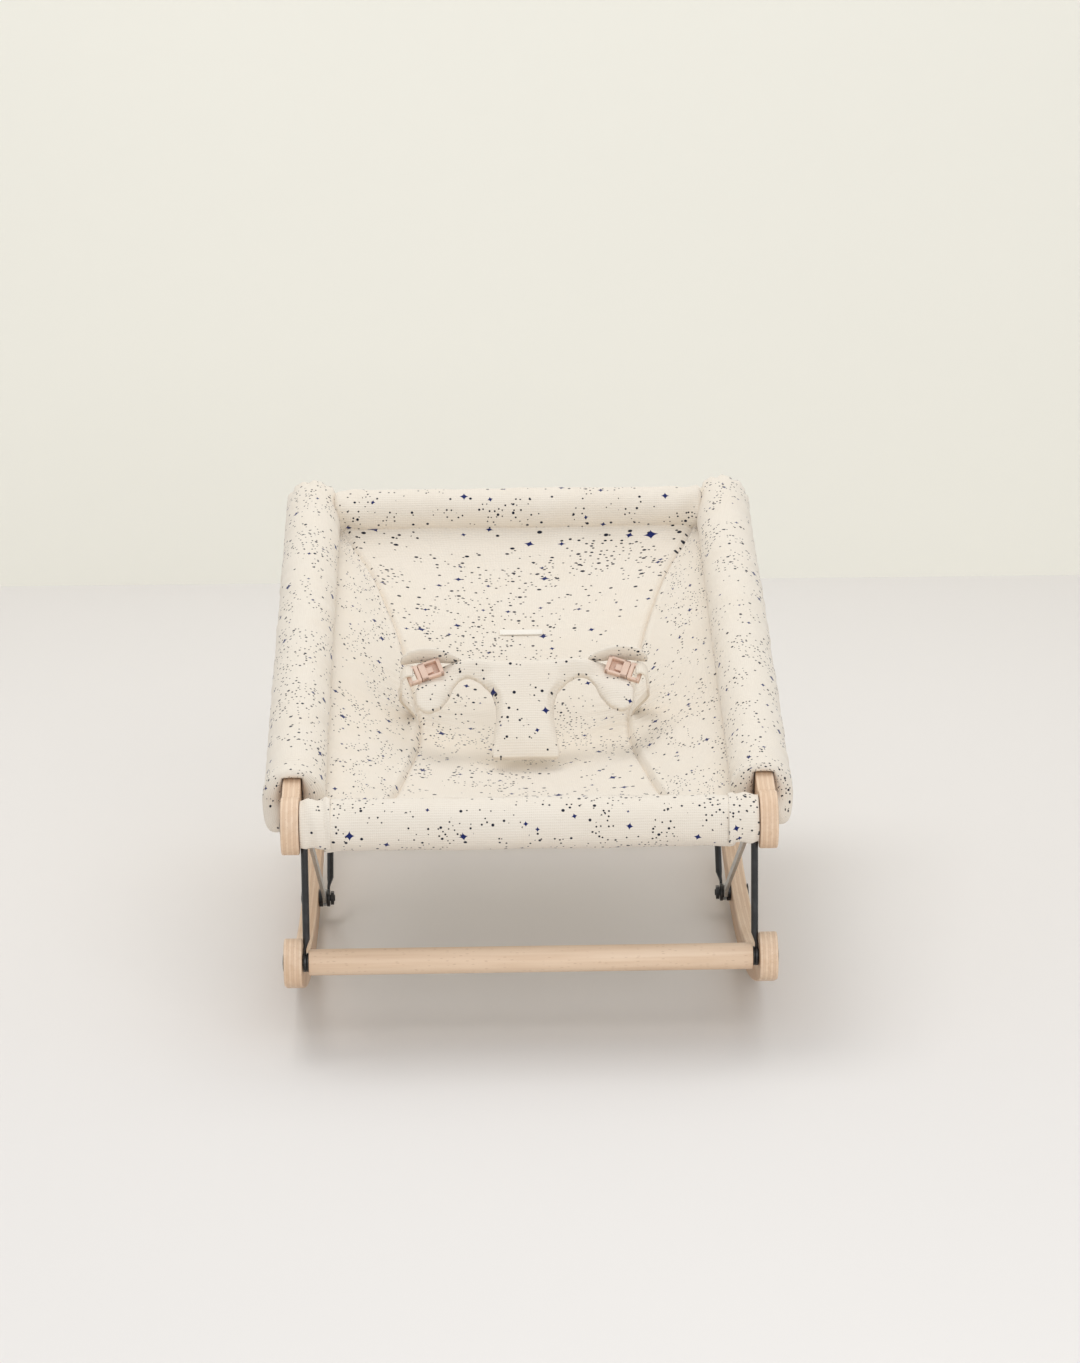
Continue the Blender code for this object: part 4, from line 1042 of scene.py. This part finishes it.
def build_scene_light():
    world = bpy.data.worlds.new("studio")
    bpy.context.scene.world = world
    world.use_nodes = True
    sky = world.node_tree.nodes["Background"].inputs
    sky["Color"].default_value, sky["Strength"].default_value = SKY_COLOUR, SKY_STRENGTH
    lamps = [("key", (-0.75, 0.25, 3.0), (0, 0, 0.15), 1.4, 19, (1.0, 0.985, 0.965)),
             ("front", (0.5, -2.6, 1.5), (0, 0, 0.2), 2.2, 29, (0.96, 0.98, 1.0)),
             ("top", (0.3, 1.0, 2.6), (0, 0.1, 0.1), 1.8, 12, (1.0, 0.99, 0.975))]
    for name, place, aim, wide, power, colour in lamps:
        data = bpy.data.lights.new(name, "AREA")
        data.energy, data.size, data.color = power, wide, colour
        lamp = bpy.data.objects.new(name, data)
        bpy.context.collection.objects.link(lamp)
        lamp.location = place
        lamp.rotation_euler = (Vector(aim) - Vector(place)).to_track_quat("-Z", "Y").to_euler()


def stage_plane(name, colour, matrix, wide, deep):
    graph = Graph(name)
    cloud = graph.noise(graph.object_place(), 1.2)
    base = graph.mix(graph.ramp(cloud, 0.3, 0.7), (*(c * 0.99 for c in colour), 1), (*colour, 1))
    graph.surface(Base_Color=base, Roughness=0.95, Specular_IOR_Level=0.1)
    bm = bmesh.new()
    bmesh.ops.create_grid(bm, x_segments=1, y_segments=1, size=0.5,
                          matrix=matrix @ Matrix.Diagonal((wide, deep, 1, 1)))
    mesh = bpy.data.meshes.new(name)
    bm.to_mesh(mesh)
    bm.free()
    made = bpy.data.objects.new(name, mesh)
    bpy.context.collection.objects.link(made)
    mesh.materials.append(graph.material)


def build_studio():
    build_scene_light()
    stage_plane("floor", (0.80, 0.77, 0.745), Matrix.Translation((0, 0, -0.0004)), STAGE_SIZE, STAGE_SIZE)
    upright = (Matrix.Translation((0, LOWER_PIVOT.y + WALL_AWAY, WALL_MIDDLE))
               @ Matrix.Rotation(math.pi / 2, 4, "X"))
    stage_plane("wall", (0.93, 0.91, 0.825), Matrix.Rotation(WALL_TURN, 4, "Z") @ upright, STAGE_SIZE,
                WALL_HEIGHT)
    data = bpy.data.cameras.new("camera")
    data.lens, data.sensor_fit, data.sensor_height = LENS, "VERTICAL", FILM_HEIGHT
    camera = bpy.data.objects.new("camera", data)
    bpy.context.collection.objects.link(camera)
    camera.location = CAMERA_PLACE
    turns = ((CAMERA_HEADING, "Z"), (math.pi / 2 - CAMERA_DOWN, "X"), (CAMERA_ROLL, "Z"))
    heading, pitch, roll = (Matrix.Rotation(angle, 4, axis) for angle, axis in turns)
    camera.rotation_euler = (heading @ pitch @ roll).to_euler()
    bpy.context.scene.camera = camera
    bpy.context.scene.view_settings.view_transform = "Standard"


build_wood()
build_legs()
build_fasteners()
finish_packed_metal()
build_sling()
cross_roll("front_roll_cloth", "front_roll", FRONT_ROLL_RADIUS, FRONT_ROLL_HALF, (0.0, 0.0), 0.5)
cross_roll("head_roll_cloth", "head_roll", HEAD_ROLL_RADIUS, HEAD_ROLL_HALF, (RAIL_SPAN, HEAD_ROLL_LIFT), 1.0)
build_pad()
for side_word, side_sign in SIDES:
    side_sleeve(side_word, side_sign)
    front_loop(side_word, side_sign)
    lip(side_word, side_sign)
    build_strap(side_word, side_sign, build_buckle(side_word, side_sign))
build_label()
build_studio()
